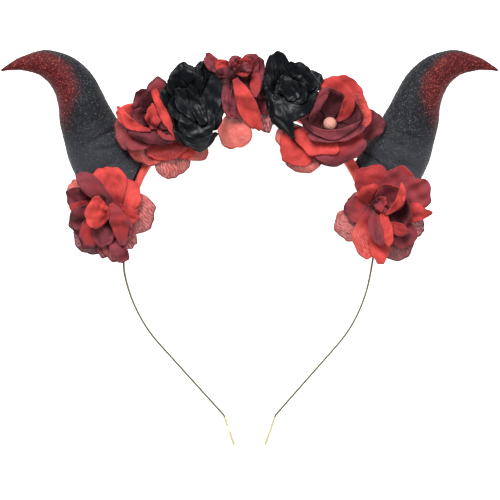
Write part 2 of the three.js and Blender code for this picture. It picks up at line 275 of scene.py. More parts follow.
@dataclass
class Shell:
    """A growing mesh with a cloth map and a few values for each point."""

    places: list = field(default_factory=list)
    faces: list = field(default_factory=list)
    maps: list = field(default_factory=list)
    values: dict = field(default_factory=dict)
    count: int = 0

    def add(
        self, places: np.ndarray, faces: list, maps: np.ndarray | None = None, **values: np.ndarray
    ) -> None:
        """Adds points and the faces between them.

        Args:
            places: the points, in the row's frame.
            faces: corner numbers of each face, counted from the first of these points.
            maps: where each point lies on the flat cloth; left out, the piece needs no map.
            values: a number for each point, by name, which materials read.
        """
        many = places.size // 3
        self.places.append(places.reshape(-1, 3))
        self.faces.extend(tuple(self.count + i for i in face) for face in faces)
        self.maps.append(np.zeros((many, 2)) if maps is None else maps.reshape(-1, 2))
        for name, value in values.items():
            self.values.setdefault(name, []).append(np.broadcast_to(value, places.shape[:-1]).ravel())
        self.count += many

    def to_object(self, name: str, material: Material) -> Piece:
        """Makes the finished object.

        Args:
            name: what it is called.
            material: what it is made of.

        Returns:
            The object, at the origin and shaded smooth, with its values as attributes.
        """
        mesh = bpy.data.meshes.new(name)
        mesh.from_pydata(np.concatenate(self.places).tolist(), [], self.faces)
        for key, parts in self.values.items():
            layer = mesh.attributes.new(key, "FLOAT", "POINT")
            layer.data.foreach_set("value", np.concatenate(parts).astype(np.float32))
        corners = np.empty(len(mesh.loops), np.int32)
        mesh.loops.foreach_get("vertex_index", corners)
        layer = mesh.uv_layers.new(name="cloth")
        layer.data.foreach_set("uv", np.concatenate(self.maps)[corners].astype(np.float32).ravel())
        mesh.shade_smooth()
        mesh.materials.append(material)
        mesh.validate()
        return put_in_scene(name, mesh)


def keep(thing: Piece, slot: str, *nodes: str) -> None:
    """Lets a piece ride with the headband and reports it.

    Args:
        thing: the piece.
        slot: not used.
        nodes: the solids that it stands for.
    """
    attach(thing, "root")
    if nodes:
        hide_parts(*nodes)
    log.info("%s: %d faces", thing.name, len(thing.data.polygons))


# Finishes

def opaque(colour: Colour) -> tuple[float, float, float, float]:
    """A colour that nothing shows through."""
    return (*colour, 1.0)


@dataclass
class NodeMaker:
    """Adds nodes to one tree and links them."""

    tree: Tree

    def node(self, kind: str, options: dict | None = None, **inputs: object) -> Node:
        """Adds a node.

        Args:
            kind: Blender's name for the node.
            options: properties to set on the node.
            inputs: a value or an output socket for each named input. A space in a name is written _,
                and i with a number stands for the input of that number.

        Returns:
            The new node.
        """
        made = self.tree.nodes.new(kind)
        for key, value in (options or {}).items():
            setattr(made, key, value)
        for key, value in inputs.items():
            numbered = key[0] == "i" and key[1:].isdigit()
            self.give(made.inputs[int(key[1:]) if numbered else key.replace("_", " ")], value)
        return made

    def give(self, spot: Socket, value: object) -> None:
        """Fills an input.

        Args:
            spot: the input.
            value: an output socket to link to it, or a plain value.
        """
        if isinstance(value, Socket):
            self.tree.links.new(value, spot)
        else:
            spot.default_value = value

    def math(self, operation: str, a: object, b: object = 0.0, clamp: bool = False) -> Socket:
        """Works out one sum.

        Args:
            operation: Blender's name for it.
            a: the first number.
            b: the second one.
            clamp: whether the result is kept from 0 to 1.

        Returns:
            The result.
        """
        options = {"operation": operation, "use_clamp": clamp}
        return self.node("ShaderNodeMath", options, i0=a, i1=b).outputs[0]

    def times(self, a: object, b: object) -> Socket:
        """One number times another."""
        return self.math("MULTIPLY", a, b)

    def plus(self, a: object, b: object, clamp: bool = False) -> Socket:
        """One number and another, kept from 0 to 1 if clamp is set."""
        return self.math("ADD", a, b, clamp)

    def off_middle(self, value: object, share: float) -> Socket:
        """A share of how far a value from 0 to 1 is over its middle."""
        return self.times(self.math("SUBTRACT", value, 0.5), share)

    def ramp(
        self, value: object, low: float, high: float, to_low: float = 0.0, to_high: float = 1.0
    ) -> Socket:
        """Carries a value smoothly from one range to another.

        Args:
            value: the value.
            low: the start of its range.
            high: the end of its range.
            to_low: what the start becomes.
            to_high: what the end becomes.

        Returns:
            The new value.
        """
        made = self.node(
            "ShaderNodeMapRange",
            {"interpolation_type": "SMOOTHSTEP"},
            Value=value, From_Min=low, From_Max=high, To_Min=to_low, To_Max=to_high,
        )
        return made.outputs["Result"]

    def mix(self, factor: object, a: object, b: object) -> Socket:
        """Mixes two colours.

        Args:
            factor: how much of the second colour shows.
            a: the first colour.
            b: the second colour.

        Returns:
            The mixed colour.
        """
        made = self.node("ShaderNodeMix", {"data_type": "RGBA"}, i0=factor, i6=a, i7=b)
        return made.outputs[2]

    def palette(self, value: object, *stops: tuple[float, Colour]) -> Socket:
        """Picks a colour by a value from a row of colours.

        Args:
            value: the value that picks, from 0 to 1.
            stops: the place and the colour of each stop, the two ends first.

        Returns:
            The colour.
        """
        made = self.node("ShaderNodeValToRGB", Fac=value)
        elements = made.color_ramp.elements
        for number, (place, colour) in enumerate(stops):
            element = elements[number] if number < 2 else elements.new(place)
            element.position = place
            element.color = opaque(colour)
        return made.outputs["Color"]

    def value(self, name: str) -> Socket:
        """A value kept on the points of the piece."""
        return self.node("ShaderNodeAttribute", {"attribute_name": name}).outputs["Fac"]

    def place(self) -> Socket:
        """The place on the piece."""
        return self.node("ShaderNodeTexCoord").outputs["Object"]

    def noise(self, scale: object, detail: float, over: Socket | None = None, **more: float) -> Socket:
        """Soft noise.

        Args:
            scale: how fine it is.
            detail: how many finer layers it has.
            over: what it is spread over; left out, the piece.
            more: other inputs of the node.

        Returns:
            The noise, from about 0 to 1.
        """
        over = self.place() if over is None else over
        return self.node("ShaderNodeTexNoise", Vector=over, Scale=scale, Detail=detail, **more).outputs["Fac"]


def new_group(name: str, inputs: dict[str, float], outputs: tuple[str, ...]) -> tuple[NodeMaker, Node, Node]:
    """Starts a shader node group of plain numbers.

    Args:
        name: what the group is called.
        inputs: its inputs, each with its usual value.
        outputs: the names of its outputs.

    Returns:
        A maker for its nodes, its input node and its output node.
    """
    group = bpy.data.node_groups.new(name, "ShaderNodeTree")
    for key, usual in inputs.items():
        group.interface.new_socket(key, in_out="INPUT", socket_type="NodeSocketFloat").default_value = usual
    for key in outputs:
        group.interface.new_socket(key, in_out="OUTPUT", socket_type="NodeSocketFloat")
    maker = NodeMaker(group)
    return maker, maker.node("NodeGroupInput"), maker.node("NodeGroupOutput")


def cloth_group() -> Tree:
    """Woven cloth: a weave, soft crush marks and threads that show as streaks.

    Returns:
        The group. Height is for relief, Crush and Streaks change the colour.
    """
    thread_stretch = (1.0, 4.0, 1.0)
    row_wander, row_share = 9.0, 0.09
    weave_height = 0.02
    streak_from, streak_full = 0.4, 0.62
    make, given, out = new_group(
        "Woven cloth",
        {"Thread": 0.35 * MM, "Crush": 6 * MM, "Crush Depth": 0.5, "Streak": 0.42 * MM},
        ("Height", "Crush", "Streaks"),
    )
    cloth = make.node("ShaderNodeUVMap", {"uv_map": "cloth"}).outputs["UV"]
    across = make.node("ShaderNodeSeparateXYZ", Vector=cloth)
    threads = []
    for side in ("X", "Y"):
        turns = make.math("DIVIDE", across.outputs[side], given.outputs["Thread"])
        threads.append(make.math("SINE", make.times(turns, 2 * math.pi)))
    crush_size = make.math("DIVIDE", 1.0, given.outputs["Crush"])
    crush = make.noise(crush_size, 3.0, Roughness=0.55, Distortion=0.6)
    fold = make.math("ABSOLUTE", make.math("SUBTRACT", crush, 0.5))
    fold = make.times(fold, given.outputs["Crush Depth"])
    streak_size = make.math("DIVIDE", 1.0, given.outputs["Streak"])
    stretched = make.node("ShaderNodeMapping", {"vector_type": "TEXTURE"}, Vector=cloth, Scale=thread_stretch)
    broken = make.noise(streak_size, 1.0, stretched.outputs["Vector"], Roughness=0.5, Distortion=0.3)
    steps = make.times(across.outputs["X"], make.times(streak_size, math.pi))
    rows = make.math("SINE", make.plus(steps, make.times(crush, row_wander)))
    streaks = make.plus(broken, make.times(rows, row_share))
    make.give(out.inputs["Height"], make.plus(make.times(make.times(*threads), weave_height), fold))
    make.give(out.inputs["Crush"], crush)
    make.give(out.inputs["Streaks"], make.ramp(streaks, streak_from, streak_full))
    return make.tree


def glitter_group() -> Tree:
    """Glitter: flakes that each have a brightness, a tone and a height of their own. The brightness paints
    glints on some flakes.

    Returns:
        The group. Sparkle and Tone change the colour and Height is for relief.
    """
    dull, shining = 0.74, 0.98
    make, given, out = new_group("Glitter", {"Flake": 0.5 * MM}, ("Sparkle", "Tone", "Height"))
    size = make.math("DIVIDE", 1.0, given.outputs["Flake"])
    cells = make.node("ShaderNodeTexVoronoi", {"feature": "F1"}, Vector=make.place(), Scale=size)
    parts = make.node("ShaderNodeSeparateColor", Color=cells.outputs["Color"])
    make.give(out.inputs["Sparkle"], make.ramp(parts.outputs[0], dull, shining))
    make.give(out.inputs["Tone"], parts.outputs[1])
    make.give(out.inputs["Height"], parts.outputs[2])
    return make.tree


def shared_group(name: str) -> Tree:
    """A shader node group by name, built the first time it is asked for."""
    makers = {"Woven cloth": cloth_group, "Glitter": glitter_group}
    return bpy.data.node_groups.get(name) or makers[name]()


@dataclass(frozen=True)
class Finish:
    """A material with a plain surface and a fine grain."""

    name: str
    colour: Colour = (0.5, 0.5, 0.5)
    roughness: float = 0.5
    metallic: float = 0.0
    relief: float = 0.15
    relief_depth: float = 0.05 * MM
    grain_scale: float = 900.0
    grain_span: Span = (0.3, 0.7)
    grain_share: float = 0.35
    grain_dark: float = 0.7

    def material(self) -> Material:
        """Gives the material.

        Returns:
            The material, built the first time it is asked for.
        """
        made = bpy.data.materials.get(self.name)
        if made is None:
            made = bpy.data.materials.new(self.name)
            made.use_nodes = True
            made.node_tree.nodes.clear()
            make = NodeMaker(made.node_tree)
            shader = make.node("ShaderNodeBsdfPrincipled", Roughness=self.roughness, Metallic=self.metallic)
            shader.inputs["Base Color"].default_value = opaque(self.colour)
            make.node("ShaderNodeOutputMaterial", Surface=shader.outputs[0])
            self.dress(make, shader)
        return made

    def dress(self, make: NodeMaker, shader: Node) -> None:
        """Adds fine colour and relief, which each kind of finish does in its own way.

        Args:
            make: the maker for the material's nodes.
            shader: the material's shader.
        """
        grain = make.noise(self.grain_scale, 4.0)
        darker = tuple(self.grain_dark * part for part in self.colour)
        amount = make.ramp(grain, *self.grain_span, 0.0, self.grain_share)
        make.give(shader.inputs["Base Color"], make.mix(amount, opaque(self.colour), opaque(darker)))
        self.add_relief(make, shader, grain)

    def add_relief(self, make: NodeMaker, shader: Node, height: Socket) -> None:
        """Links a height to the shader as fine relief.

        Args:
            make: the maker for the material's nodes.
            shader: the material's shader.
            height: the height, from 0 to 1.
        """
        bump = make.node("ShaderNodeBump", Strength=self.relief, Distance=self.relief_depth, Height=height)
        make.give(shader.inputs["Normal"], bump.outputs["Normal"])


@dataclass(frozen=True)
class RoseCloth(Finish):
    """Dyed cloth of a rose, in four dyes from the bright one to the darkest."""

    relief: float = 0.5
    relief_depth: float = 0.6 * MM
    coral: Colour = (0.54, 0.053, 0.044)
    red: Colour = (0.27, 0.02, 0.021)
    wine: Colour = (0.18, 0.03, 0.04)
    dark: Colour = (0.045, 0.005, 0.008)
    red_at: float = 0.38
    wine_at: float = 0.72
    sheen: float = 0.08
    sheen_roughness: float = 0.4
    specular: float = 0.2
    alpha: float = 1.0
    streaks: float = 0.0
    streak_colour: Colour = (0.6, 0.19, 0.16)
    streak_clear: float = 0.15
    crush_depth: float = 0.35
    crush_tone: float = 0.7
    inside_tone: float = 0.12
    rim: float = 0.12
    rim_span: Span = (0.95, 1.0)

    def dress(self, make: NodeMaker, shader: Node) -> None:
        """Adds the dye, with the painted shade that the tone carries near each petal's root, the weave and,
        on thin cloth, the pale threads.

        Args:
            make: the maker for the material's nodes.
            shader: the material's shader.
        """
        group = {"node_tree": shared_group("Woven cloth")}
        cloth = make.node("ShaderNodeGroup", group, Crush_Depth=self.crush_depth)
        # The tone holds the dye and, near each petal's root, painted shade.
        tone = make.plus(make.value("tone"), make.off_middle(cloth.outputs["Crush"], self.crush_tone))
        rim = make.ramp(make.value("rim"), *self.rim_span, 0.0, self.rim)
        inner = make.times(make.value("inside"), self.inside_tone)
        tone = make.plus(make.plus(tone, rim), inner, clamp=True)
        dyes = ((0.0, self.coral), (1.0, self.dark), (self.red_at, self.red), (self.wine_at, self.wine))
        colour = make.palette(tone, *dyes)
        if self.streaks:
            streaks = make.times(cloth.outputs["Streaks"], make.value("streak"))
            within = make.ramp(make.value("rim"), *self.rim_span, 1.0, 0.0)
            amount = make.times(make.times(streaks, self.streaks), within)
            colour = make.mix(amount, colour, opaque(self.streak_colour))
            if self.alpha < 1.0:
                clear = make.math("SUBTRACT", self.alpha, make.times(streaks, self.streak_clear))
                make.give(shader.inputs["Alpha"], make.plus(clear, rim, clamp=True))
        make.give(shader.inputs["Base Color"], colour)
        self.add_relief(make, shader, cloth.outputs["Height"])
        shader.inputs["Specular IOR Level"].default_value = self.specular
        shader.inputs["Sheen Weight"].default_value = self.sheen
        shader.inputs["Sheen Roughness"].default_value = self.sheen_roughness


@dataclass(frozen=True)
class HornGlitter(Finish):
    """Black glitter with red glitter over it towards the point, with painted glints on some flakes and a
    painted pale glint near the root.
    """

    relief: float = 0.7
    relief_depth: float = 0.12 * MM
    red: Colour = (0.055, 0.005, 0.007)
    # The pale colour is a painted reflection of light on the lower part of the horn.
    pale: Colour = (0.045, 0.047, 0.056)
    # The next two colours are painted glints: flakes that catch the light, in the glitter's own grey over the
    # black and red over the red.
    bright: Colour = (0.03, 0.033, 0.04)
    glint_red: Colour = (0.22, 0.035, 0.03)
    specular: float = 0.12
    flake: float = 0.4 * MM
    drift_scale: float = 90.0
    drift_share: float = 0.4
    speckle_share: float = 0.4
    fade_span: Span = (0.2, 0.85)

    def dress(self, make: NodeMaker, shader: Node) -> None:
        """Adds the grains with their painted glints, the fade from red to black and the painted pale glint
        near the root.

        Args:
            make: the maker for the material's nodes.
            shader: the material's shader.
        """
        flakes = make.node("ShaderNodeGroup", {"node_tree": shared_group("Glitter")}, Flake=self.flake)
        drift = make.noise(self.drift_scale, 3.0)
        red = make.plus(make.value("red"), make.off_middle(drift, self.drift_share))
        red = make.plus(red, make.off_middle(flakes.outputs["Tone"], self.speckle_share))
        red = make.ramp(red, *self.fade_span)
        # Painted glint: the pale value lightens the horn near its root, as reflected light would.
        base = make.mix(make.value("pale"), opaque(self.colour), opaque(self.pale))
        base = make.mix(red, base, opaque(self.red))
        # Painted glints: the flakes that Sparkle picks get a bright grey or red.
        grain = make.mix(red, opaque(self.bright), opaque(self.glint_red))
        shader.inputs["Specular IOR Level"].default_value = self.specular
        make.give(shader.inputs["Base Color"], make.mix(flakes.outputs["Sparkle"], base, grain))
        self.add_relief(make, shader, flakes.outputs["Height"])


@dataclass(frozen=True)
class LitTable(Finish):
    """A pale table with light coming through it."""

    glow: float = 1.0

    def dress(self, make: NodeMaker, shader: Node) -> None:
        """Keeps the table plain and lets it glow.

        Args:
            make: the maker for the material's nodes.
            shader: the material's shader.
        """
        shader.inputs["Emission Strength"].default_value = self.glow
        shader.inputs["Emission Color"].default_value = (1.0, 1.0, 1.0, 1.0)


@dataclass(frozen=True)
class ClearPlastic(Finish):
    """Clear soft plastic, a little yellow and a little uneven."""

    relief: float = 0.2
    relief_depth: float = 0.1 * MM
    wave_scale: float = 300.0
    alpha: float = 0.3
    coat: float = 0.6

    def dress(self, make: NodeMaker, shader: Node) -> None:
        """Makes the plastic clear.

        Args:
            make: the maker for the material's nodes.
            shader: the material's shader.
        """
        self.add_relief(make, shader, make.noise(self.wave_scale, 2.0))
        shader.inputs["Alpha"].default_value = self.alpha
        shader.inputs["Coat Weight"].default_value = self.coat


class Cloth(Enum):
    """The cloths that the petals are cut from."""

    RED = RoseCloth("red rose cloth", roughness=0.75, streaks=0.6)
    SHEER = RoseCloth(
        "sheer red cloth", roughness=0.75, coral=(0.6, 0.1, 0.08), red=(0.38, 0.05, 0.045),
        wine=(0.2, 0.04, 0.05), dark=(0.08, 0.015, 0.022), alpha=0.9, streaks=0.55, rim=0.45,
    )
    BLACK = RoseCloth(
        "black satin cloth", roughness=0.33, coral=(0.006, 0.007, 0.0095), red=(0.0045, 0.0055, 0.007),
        wine=(0.003, 0.004, 0.005), dark=(0.002, 0.0025, 0.003), specular=0.14, sheen=0.0, crush_depth=1.0,
    )


STEEL = Finish("brassy spring steel", (0.17, 0.155, 0.095), 0.4, 0.9)
FELT = Finish("red felt", (0.6, 0.075, 0.06), 0.95)
CORE = Finish("green moulded plastic", (0.02, 0.03, 0.018), 0.6)
BEAD = Finish("pale pink bead", (0.58, 0.27, 0.21), 0.15)
HORN = HornGlitter("black and red glitter", (0.006, 0.007, 0.009), 0.6)
# The loose flakes' bright colours are painted glints.
FLAKE = HornGlitter(
    "loose glitter flakes", (0.006, 0.0065, 0.008), 0.35, 0.1, red=(0.11, 0.008, 0.01),
    bright=(0.11, 0.115, 0.13), glint_red=(0.45, 0.11, 0.06), specular=0.2,
)
CAP = ClearPlastic("clear plastic", (0.9, 0.86, 0.55), 0.12)
FLOOR = LitTable("pale lit table", (0.86, 0.86, 0.86), 0.9)


# Horns

@dataclass(frozen=True)
class HornSection:
    """One section of a horn: out and rise as shares of its reach and rise, across of its width."""

    out: float
    rise: float
    across: float


@dataclass(frozen=True)
class Crease:
    """A crease across a horn.

    at is its share of the horn's length and slant how far it strays from that. turn is its middle
    and spread its half width, both in radians round the horn. deep is its depth.
    """

    at: float
    slant: float
    turn: float
    spread: float
    deep: float


RIGHT_CREASES = (
    Crease(0.335, 0.0, 1.75, 0.35, 1.3 * MM),
    Crease(0.285, 0.01, 1.35, 0.25, 1.0 * MM),
    Crease(0.215, -0.01, 1.9, 0.5, 0.7 * MM),
    Crease(0.16, 0.01, 1.1, 0.5, 0.7 * MM),
)
LEFT_CREASES = (
    Crease(0.31, 0.012, 1.05, 0.75, 1.3 * MM),
    Crease(0.27, -0.02, 1.2, 0.4, 0.7 * MM),
    Crease(0.385, 0.01, 1.3, 0.5, 0.6 * MM),
    Crease(0.19, 0.01, 1.7, 0.5, 0.7 * MM),
)


@dataclass
class Horn:
    """One curved horn, 1 on the right side and -1 on the left."""

    hoop: HoopFrame
    side: int
    root_deg: float = 25.5
    reach: float = 59.3 * MM
    rise: float = 55.5 * MM
    width: float = 28 * MM
    depth: float = 24 * MM
    inward: float = 0.9 * MM
    inward_start: Span = (0.02, 0.15)
    inward_end: Span = (0.62, 0.45)
    flare: float = 0.28
    flare_at: float = 0.17
    flare_reach: float = 0.1
    crease_width: float = 0.01
    lump_length: float = 22 * MM
    lump_mm: float = 0.35
    red_at: float = 0.55
    red_slant: float = 0.2
    red_bow: float = 0.09
    red_span: Span = (-0.15, 0.13)
    # The next three lay a painted pale glint, a reflection of light, over the root end of the horn, strongest
    # along its lower edge.
    glint_span: Span = (0.45, 0.15)
    glint_middle: float = 0.6
    glint_slant: float = 0.4
    flakes_per_square_mm: float = 2.4
    flake_size: float = 0.3 * MM
    rings: int = 150
    around: int = 72
    sections: tuple[HornSection, ...] = (
        HornSection(-0.05, -0.05, 0.82),
        HornSection(0.055, 0.0, 0.89),
        HornSection(0.182, 0.083, 0.95),
        HornSection(0.255, 0.233, 1.0),
        HornSection(0.311, 0.384, 0.95),
        HornSection(0.358, 0.526, 0.86),
        HornSection(0.403, 0.676, 0.76),
        HornSection(0.452, 0.807, 0.67),
        HornSection(0.54, 0.915, 0.57),
        HornSection(0.668, 0.977, 0.44),
        HornSection(0.821, 0.978, 0.255),
        HornSection(0.92, 0.953, 0.13),
        HornSection(1.0, 0.92, 0.03),
    )

    def word(self) -> str:
        """The side that the horn is on."""
        return "right" if self.side > 0 else "left"

    def centreline(self, count: int) -> tuple[np.ndarray, np.ndarray]:
        """The middle of the horn, on the right side of the headband.

        Args:
            count: how many places to give.

        Returns:
            The places, and the horn's width at each.
        """
        point, out, _ = self.hoop.at(self.root_deg)
        base = point + out * self.hoop.felt_half
        knots = np.array([
            (base[0] + s.out * self.reach, base[1] + s.rise * self.rise, s.across * self.width)
            for s in self.sections
        ])
        padded = np.vstack([2 * knots[0] - knots[1], knots, 2 * knots[-1] - knots[-2]])
        t = np.linspace(0.0, len(knots) - 1 - 1e-9, count)
        i = t.astype(int)
        f = (t - i)[:, None]
        a, b, c, d = (padded[i + k] for k in range(4))
        straight, bowed, turned = c - a, 2 * a - 5 * b + 4 * c - d, 3 * b - a - 3 * c + d
        curve = 0.5 * (2 * b + straight * f + bowed * f**2 + turned * f**3)
        return curve[:, :2], curve[:, 2]

    def surface(self) -> tuple[np.ndarray, np.ndarray, np.ndarray]:
        """Rings of points round the horn, in the hoop's frame.

        Returns:
            The points, each ring's share of the length and each point's turn round the horn.
        """
        middle, width = self.centreline(self.rings)
        way = np.gradient(middle, axis=0)
        way /= np.linalg.norm(way, axis=1)[:, None]
        share = np.linspace(0.0, 1.0, self.rings)[:, None]
        turn = ring_turns(self.around)[None, :]
        sunk = np.zeros((self.rings, self.around))
        for crease in RIGHT_CREASES if self.side > 0 else LEFT_CREASES:
            line = (share - crease.at - crease.slant * np.sin(turn * 2)) / self.crease_width
            sunk += crease.deep * np.exp(-line**2) * np.exp(-((turn - crease.turn) / crease.spread) ** 2)
        radius = 1.0 - sunk / (width[:, None] / 2)
        flare = self.flare * np.exp(-(((share - self.flare_at) / self.flare_reach) ** 2))
        edge = width[:, None] / 2 * radius * np.cos(turn) * (1.0 + flare * np.maximum(np.cos(turn), 0.0))
        points = np.empty((self.rings, self.around, 3))
        points[..., 0] = middle[:, None, 0] - way[:, None, 1] * edge
        points[..., 1] = middle[:, None, 1] + way[:, None, 0] * edge
        points[..., 2] = width[:, None] * self.depth / self.width / 2 * radius * np.sin(turn)
        lumps = wavy(points, self.lump_length, 5) * self.lump_mm * MM
        points += lumps * np.sin(math.pi * share)[..., None] ** 0.5
        inward = self.inward if self.side > 0 else self.inward / 2
        points[..., 0] -= inward * (smooth(*self.inward_start, share) * smooth(*self.inward_end, share))
        self.sit(points)
        points[..., 0] *= self.side
        return points, share, turn

    def sit(self, points: np.ndarray) -> None:
        """Moves the points of the root that would be in the felt sleeve out to its surface.

        Args:
            points: the horn's points on the right side, which are changed in place.
        """
        clear = self.hoop.felt_half + GAP
        a, b = self.hoop.half_width, self.hoop.half_height
        turn = np.arctan2(points[..., 1] / b, points[..., 0] / a)
        out = np.stack([np.cos(turn) / a, np.sin(turn) / b], axis=-1)
        out /= np.linalg.norm(out, axis=-1, keepdims=True)
        on = np.stack([a * np.cos(turn), b * np.sin(turn)], axis=-1)
        room = ((points[..., :2] - on) * out).sum(axis=-1)
        points[..., :2] += out * np.maximum(0.0, clear - room)[..., None]

    def build(self) -> None:
        """The horn as one closed piece with its fade from red to black, its painted pale glint near the root
        and its loose flakes.
        """
        points, share, turn = self.surface()
        bent = np.cos(turn)
        red = smooth(*self.red_span, share - self.red_at - self.red_slant * bent - self.red_bow * bent**2)
        # Painted glint: paler towards the root, most on the lower edge, standing in for reflected light.
        pale = smooth(*self.glint_span, share) * (self.glint_middle - self.glint_slant * bent)
        shell = Shell()
        shell.add(
            self.hoop.to_row(with_middles(points)),
            closed_faces(self.rings, self.around, turned=self.side > 0),
            red=np.append(red.ravel(), [0.0, 1.0]), pale=np.append(pale.ravel(), [0.0, 0.0]),
        )
        name = f"{self.word()}_horn"
        horn = shell.to_object(f"glitter_{name}", HORN.material())
        keep(horn, "horn", name)
        self.scatter_flakes(horn)

    def scatter_flakes(self, horn: Piece) -> None:
        """Flakes of glitter all over the horn, scattered by Geometry Nodes.

        Args:
            horn: the finished horn.
        """
        ground = put_in_scene(f"loose_flakes_{self.word()}", horn.data)
        sizes = {"Flakes per square metre": self.flakes_per_square_mm / MM**2, "Flake size": self.flake_size}
        keep(run_tree(ground, flake_tree(FLAKE.material()), sizes), "horn")


# Hoop, felt and caps

@dataclass
class Band:
    """The steel hoop, its felt sleeve and its clear end caps."""

    hoop: HoopFrame
    leg_start_deg: float = -45.0
    leg_length: float = 42.2 * MM
    tip_bend_deg: float = 22.6
    tip_length: float = 13.8 * MM
    steel_thick: float = 0.8 * MM
    steel_wide: float = 5 * MM
    arc_steps: int = 160
    right_lean: float = 0.7 * MM
    left_lean: float = 1.5 * MM
    lean_start: float = 2 * MM
    lean_run: float = 15 * MM
    felt_end_deg: float = 3.0
    felt_steps: int = 220
    felt_around: int = 40
    felt_square: float = 0.35
    felt_lump_length: float = 5 * MM
    felt_lump_mm: float = 0.12
    left_inner: float = 0.55
    right_inner: float = 1.05
    face_steps: int = 200
    face_across: int = 6
    cap_wall: float = 0.8 * MM
    cap_mouth: float = 0.8 * MM
    cap_around: int = 36
    cap_square: float = 0.7
    cap_rings: int = 9
    cap_end_turn: float = 1.5
    bore_end_share: float = 0.35

    def leg(self) -> tuple[np.ndarray, np.ndarray, np.ndarray]:
        """The lower part of the right leg.

        Returns:
            Its bend, the end of its tip and the way that the tip runs.
        """
        point, _, along = self.hoop.at(self.leg_start_deg)
        down = -along
        bend = point + down * self.leg_length
        turn = math.radians(self.tip_bend_deg)
        tip = np.array([
            down[0] * math.cos(turn) - down[1] * math.sin(turn),
            down[0] * math.sin(turn) + down[1] * math.cos(turn),
            0.0,
        ])
        return bend, bend + tip * self.tip_length, tip

    def steel_path(self) -> np.ndarray:
        """The hoop's centreline.

        Returns:
            Its points from the right tip to the left one, in the hoop's frame.
        """
        bend, end, _ = self.leg()
        turns = np.linspace(self.leg_start_deg, 180 - self.leg_start_deg, self.arc_steps)
        arc = [self.hoop.at(deg)[0] for deg in turns]
        other = [p * np.array([-1.0, 1.0, 1.0]) for p in (bend, end)]
        path = np.array([end, bend, *arc, *other])
        low = smooth(self.lean_start, self.lean_start - self.lean_run, path[:, 1])
        lean = np.where(path[:, 0] > 0.0, self.right_lean, self.left_lean)
        path[:, 0] -= lean * low * smooth(bend[1], self.lean_start, path[:, 1])
        return path

    def build_steel(self) -> None:
        """The band of steel, swept along its path by Geometry Nodes."""
        path = self.hoop.to_row(self.steel_path())
        curve = bpy.data.curves.new("steel path", "CURVE")
        curve.dimensions = "3D"
        spline = curve.splines.new("POLY")
        spline.points.add(len(path) - 1)
        for spot, place in zip(spline.points, path):
            spot.co = (*place, 1.0)
        thing = put_in_scene("spring_steel_band", curve)
        tree = sweep_tree(STEEL.material(), self.hoop.axes()[2])
        made = run_tree(thing, tree, {"Thickness": self.steel_thick, "Width": self.steel_wide})
        keep(made, "steel", "steel_hoop")

    def build_felt(self) -> None:
        """The felt sleeve, with soft rounded edges and a slightly uneven face."""
        right, up = squared(ring_turns(self.felt_around), self.felt_square)
        out = self.hoop.felt_half * right
        raised = (self.hoop.felt_width / 2 * up)[:, None] * FRONT
        ends = (-self.hoop.half_width, self.hoop.half_width)
        rings = []
        for deg in np.linspace(self.felt_end_deg, 180 - self.felt_end_deg, self.felt_steps):
            point, way, _ = self.hoop.at(deg)
            inner = np.interp(point[0], ends, (self.left_inner, self.right_inner))
            rings.append(point + np.where(out < 0.0, out * inner, out)[:, None] * way + raised)
        points = np.array(rings)
        points += wavy(points, self.felt_lump_length, 3) * self.felt_lump_mm * MM
        shell = Shell()
        shell.add(self.hoop.to_row(with_middles(points)), closed_faces(self.felt_steps, self.felt_around))
        keep(shell.to_object("red_felt_sleeve", FELT.material()), "felt", "felt_sleeve")

    def felt_face(self) -> np.ndarray:
        """The front face of the sleeve.

        Returns:
            Rows of points in the hoop's frame.
        """
        across = np.linspace(-self.hoop.felt_half, self.hoop.felt_half, self.face_across)[:, None]
        rows = []
        for deg in np.linspace(0, 180, self.face_steps):
            point, out, _ = self.hoop.at(deg)
            rows.append(point + across * out + FRONT * (self.hoop.felt_width / 2))
        return np.array(rows)

    def build_cap(self, side: int) -> None:
        """A clear cap on one tip: a flat round-ended tube, open where the steel goes in.

        Args:
            side: 1 for the right tip and -1 for the left one.
        """
        bend, _, tip = self.leg()
        bore = np.array([self.steel_thick / 2 + GAP, self.steel_wide / 2 + GAP])
        skin = bore + self.cap_wall
        reach = self.tip_length + GAP + self.cap_wall
        outer = [(self.cap_mouth, 1.0, skin)]
        for a in np.linspace(0, self.cap_end_turn, self.cap_rings):
            outer.append((reach - skin[0] * (1 - math.sin(a)), math.cos(a), skin))
        inner = [
            (self.tip_length + GAP, self.bore_end_share, bore),
            (self.tip_length, 1.0, bore),
            (self.cap_mouth, 1.0, bore),
        ]
        sideways = np.array([-tip[1], tip[0], 0.0])
        right, up = squared(ring_turns(self.cap_around), self.cap_square)
        rings = []
        for along, share, size in outer + inner:
            flat = (size[0] * share * right)[:, None] * sideways
            high = ((size[1] - size[0] * (1 - share)) * up)[:, None] * FRONT
            rings.append(bend + tip * along + flat + high)
        points = np.array(rings)
        points[..., 0] *= side
        shell = Shell()
        places = with_middles(points, len(outer) - 1, len(outer))
        shell.add(self.hoop.to_row(places), self.cap_faces(len(outer), len(inner), side > 0))
        word = "right" if side > 0 else "left"
        keep(shell.to_object(f"clear_{word}_cap", CAP.material()), "clear_cap", f"{word}_end_cap")

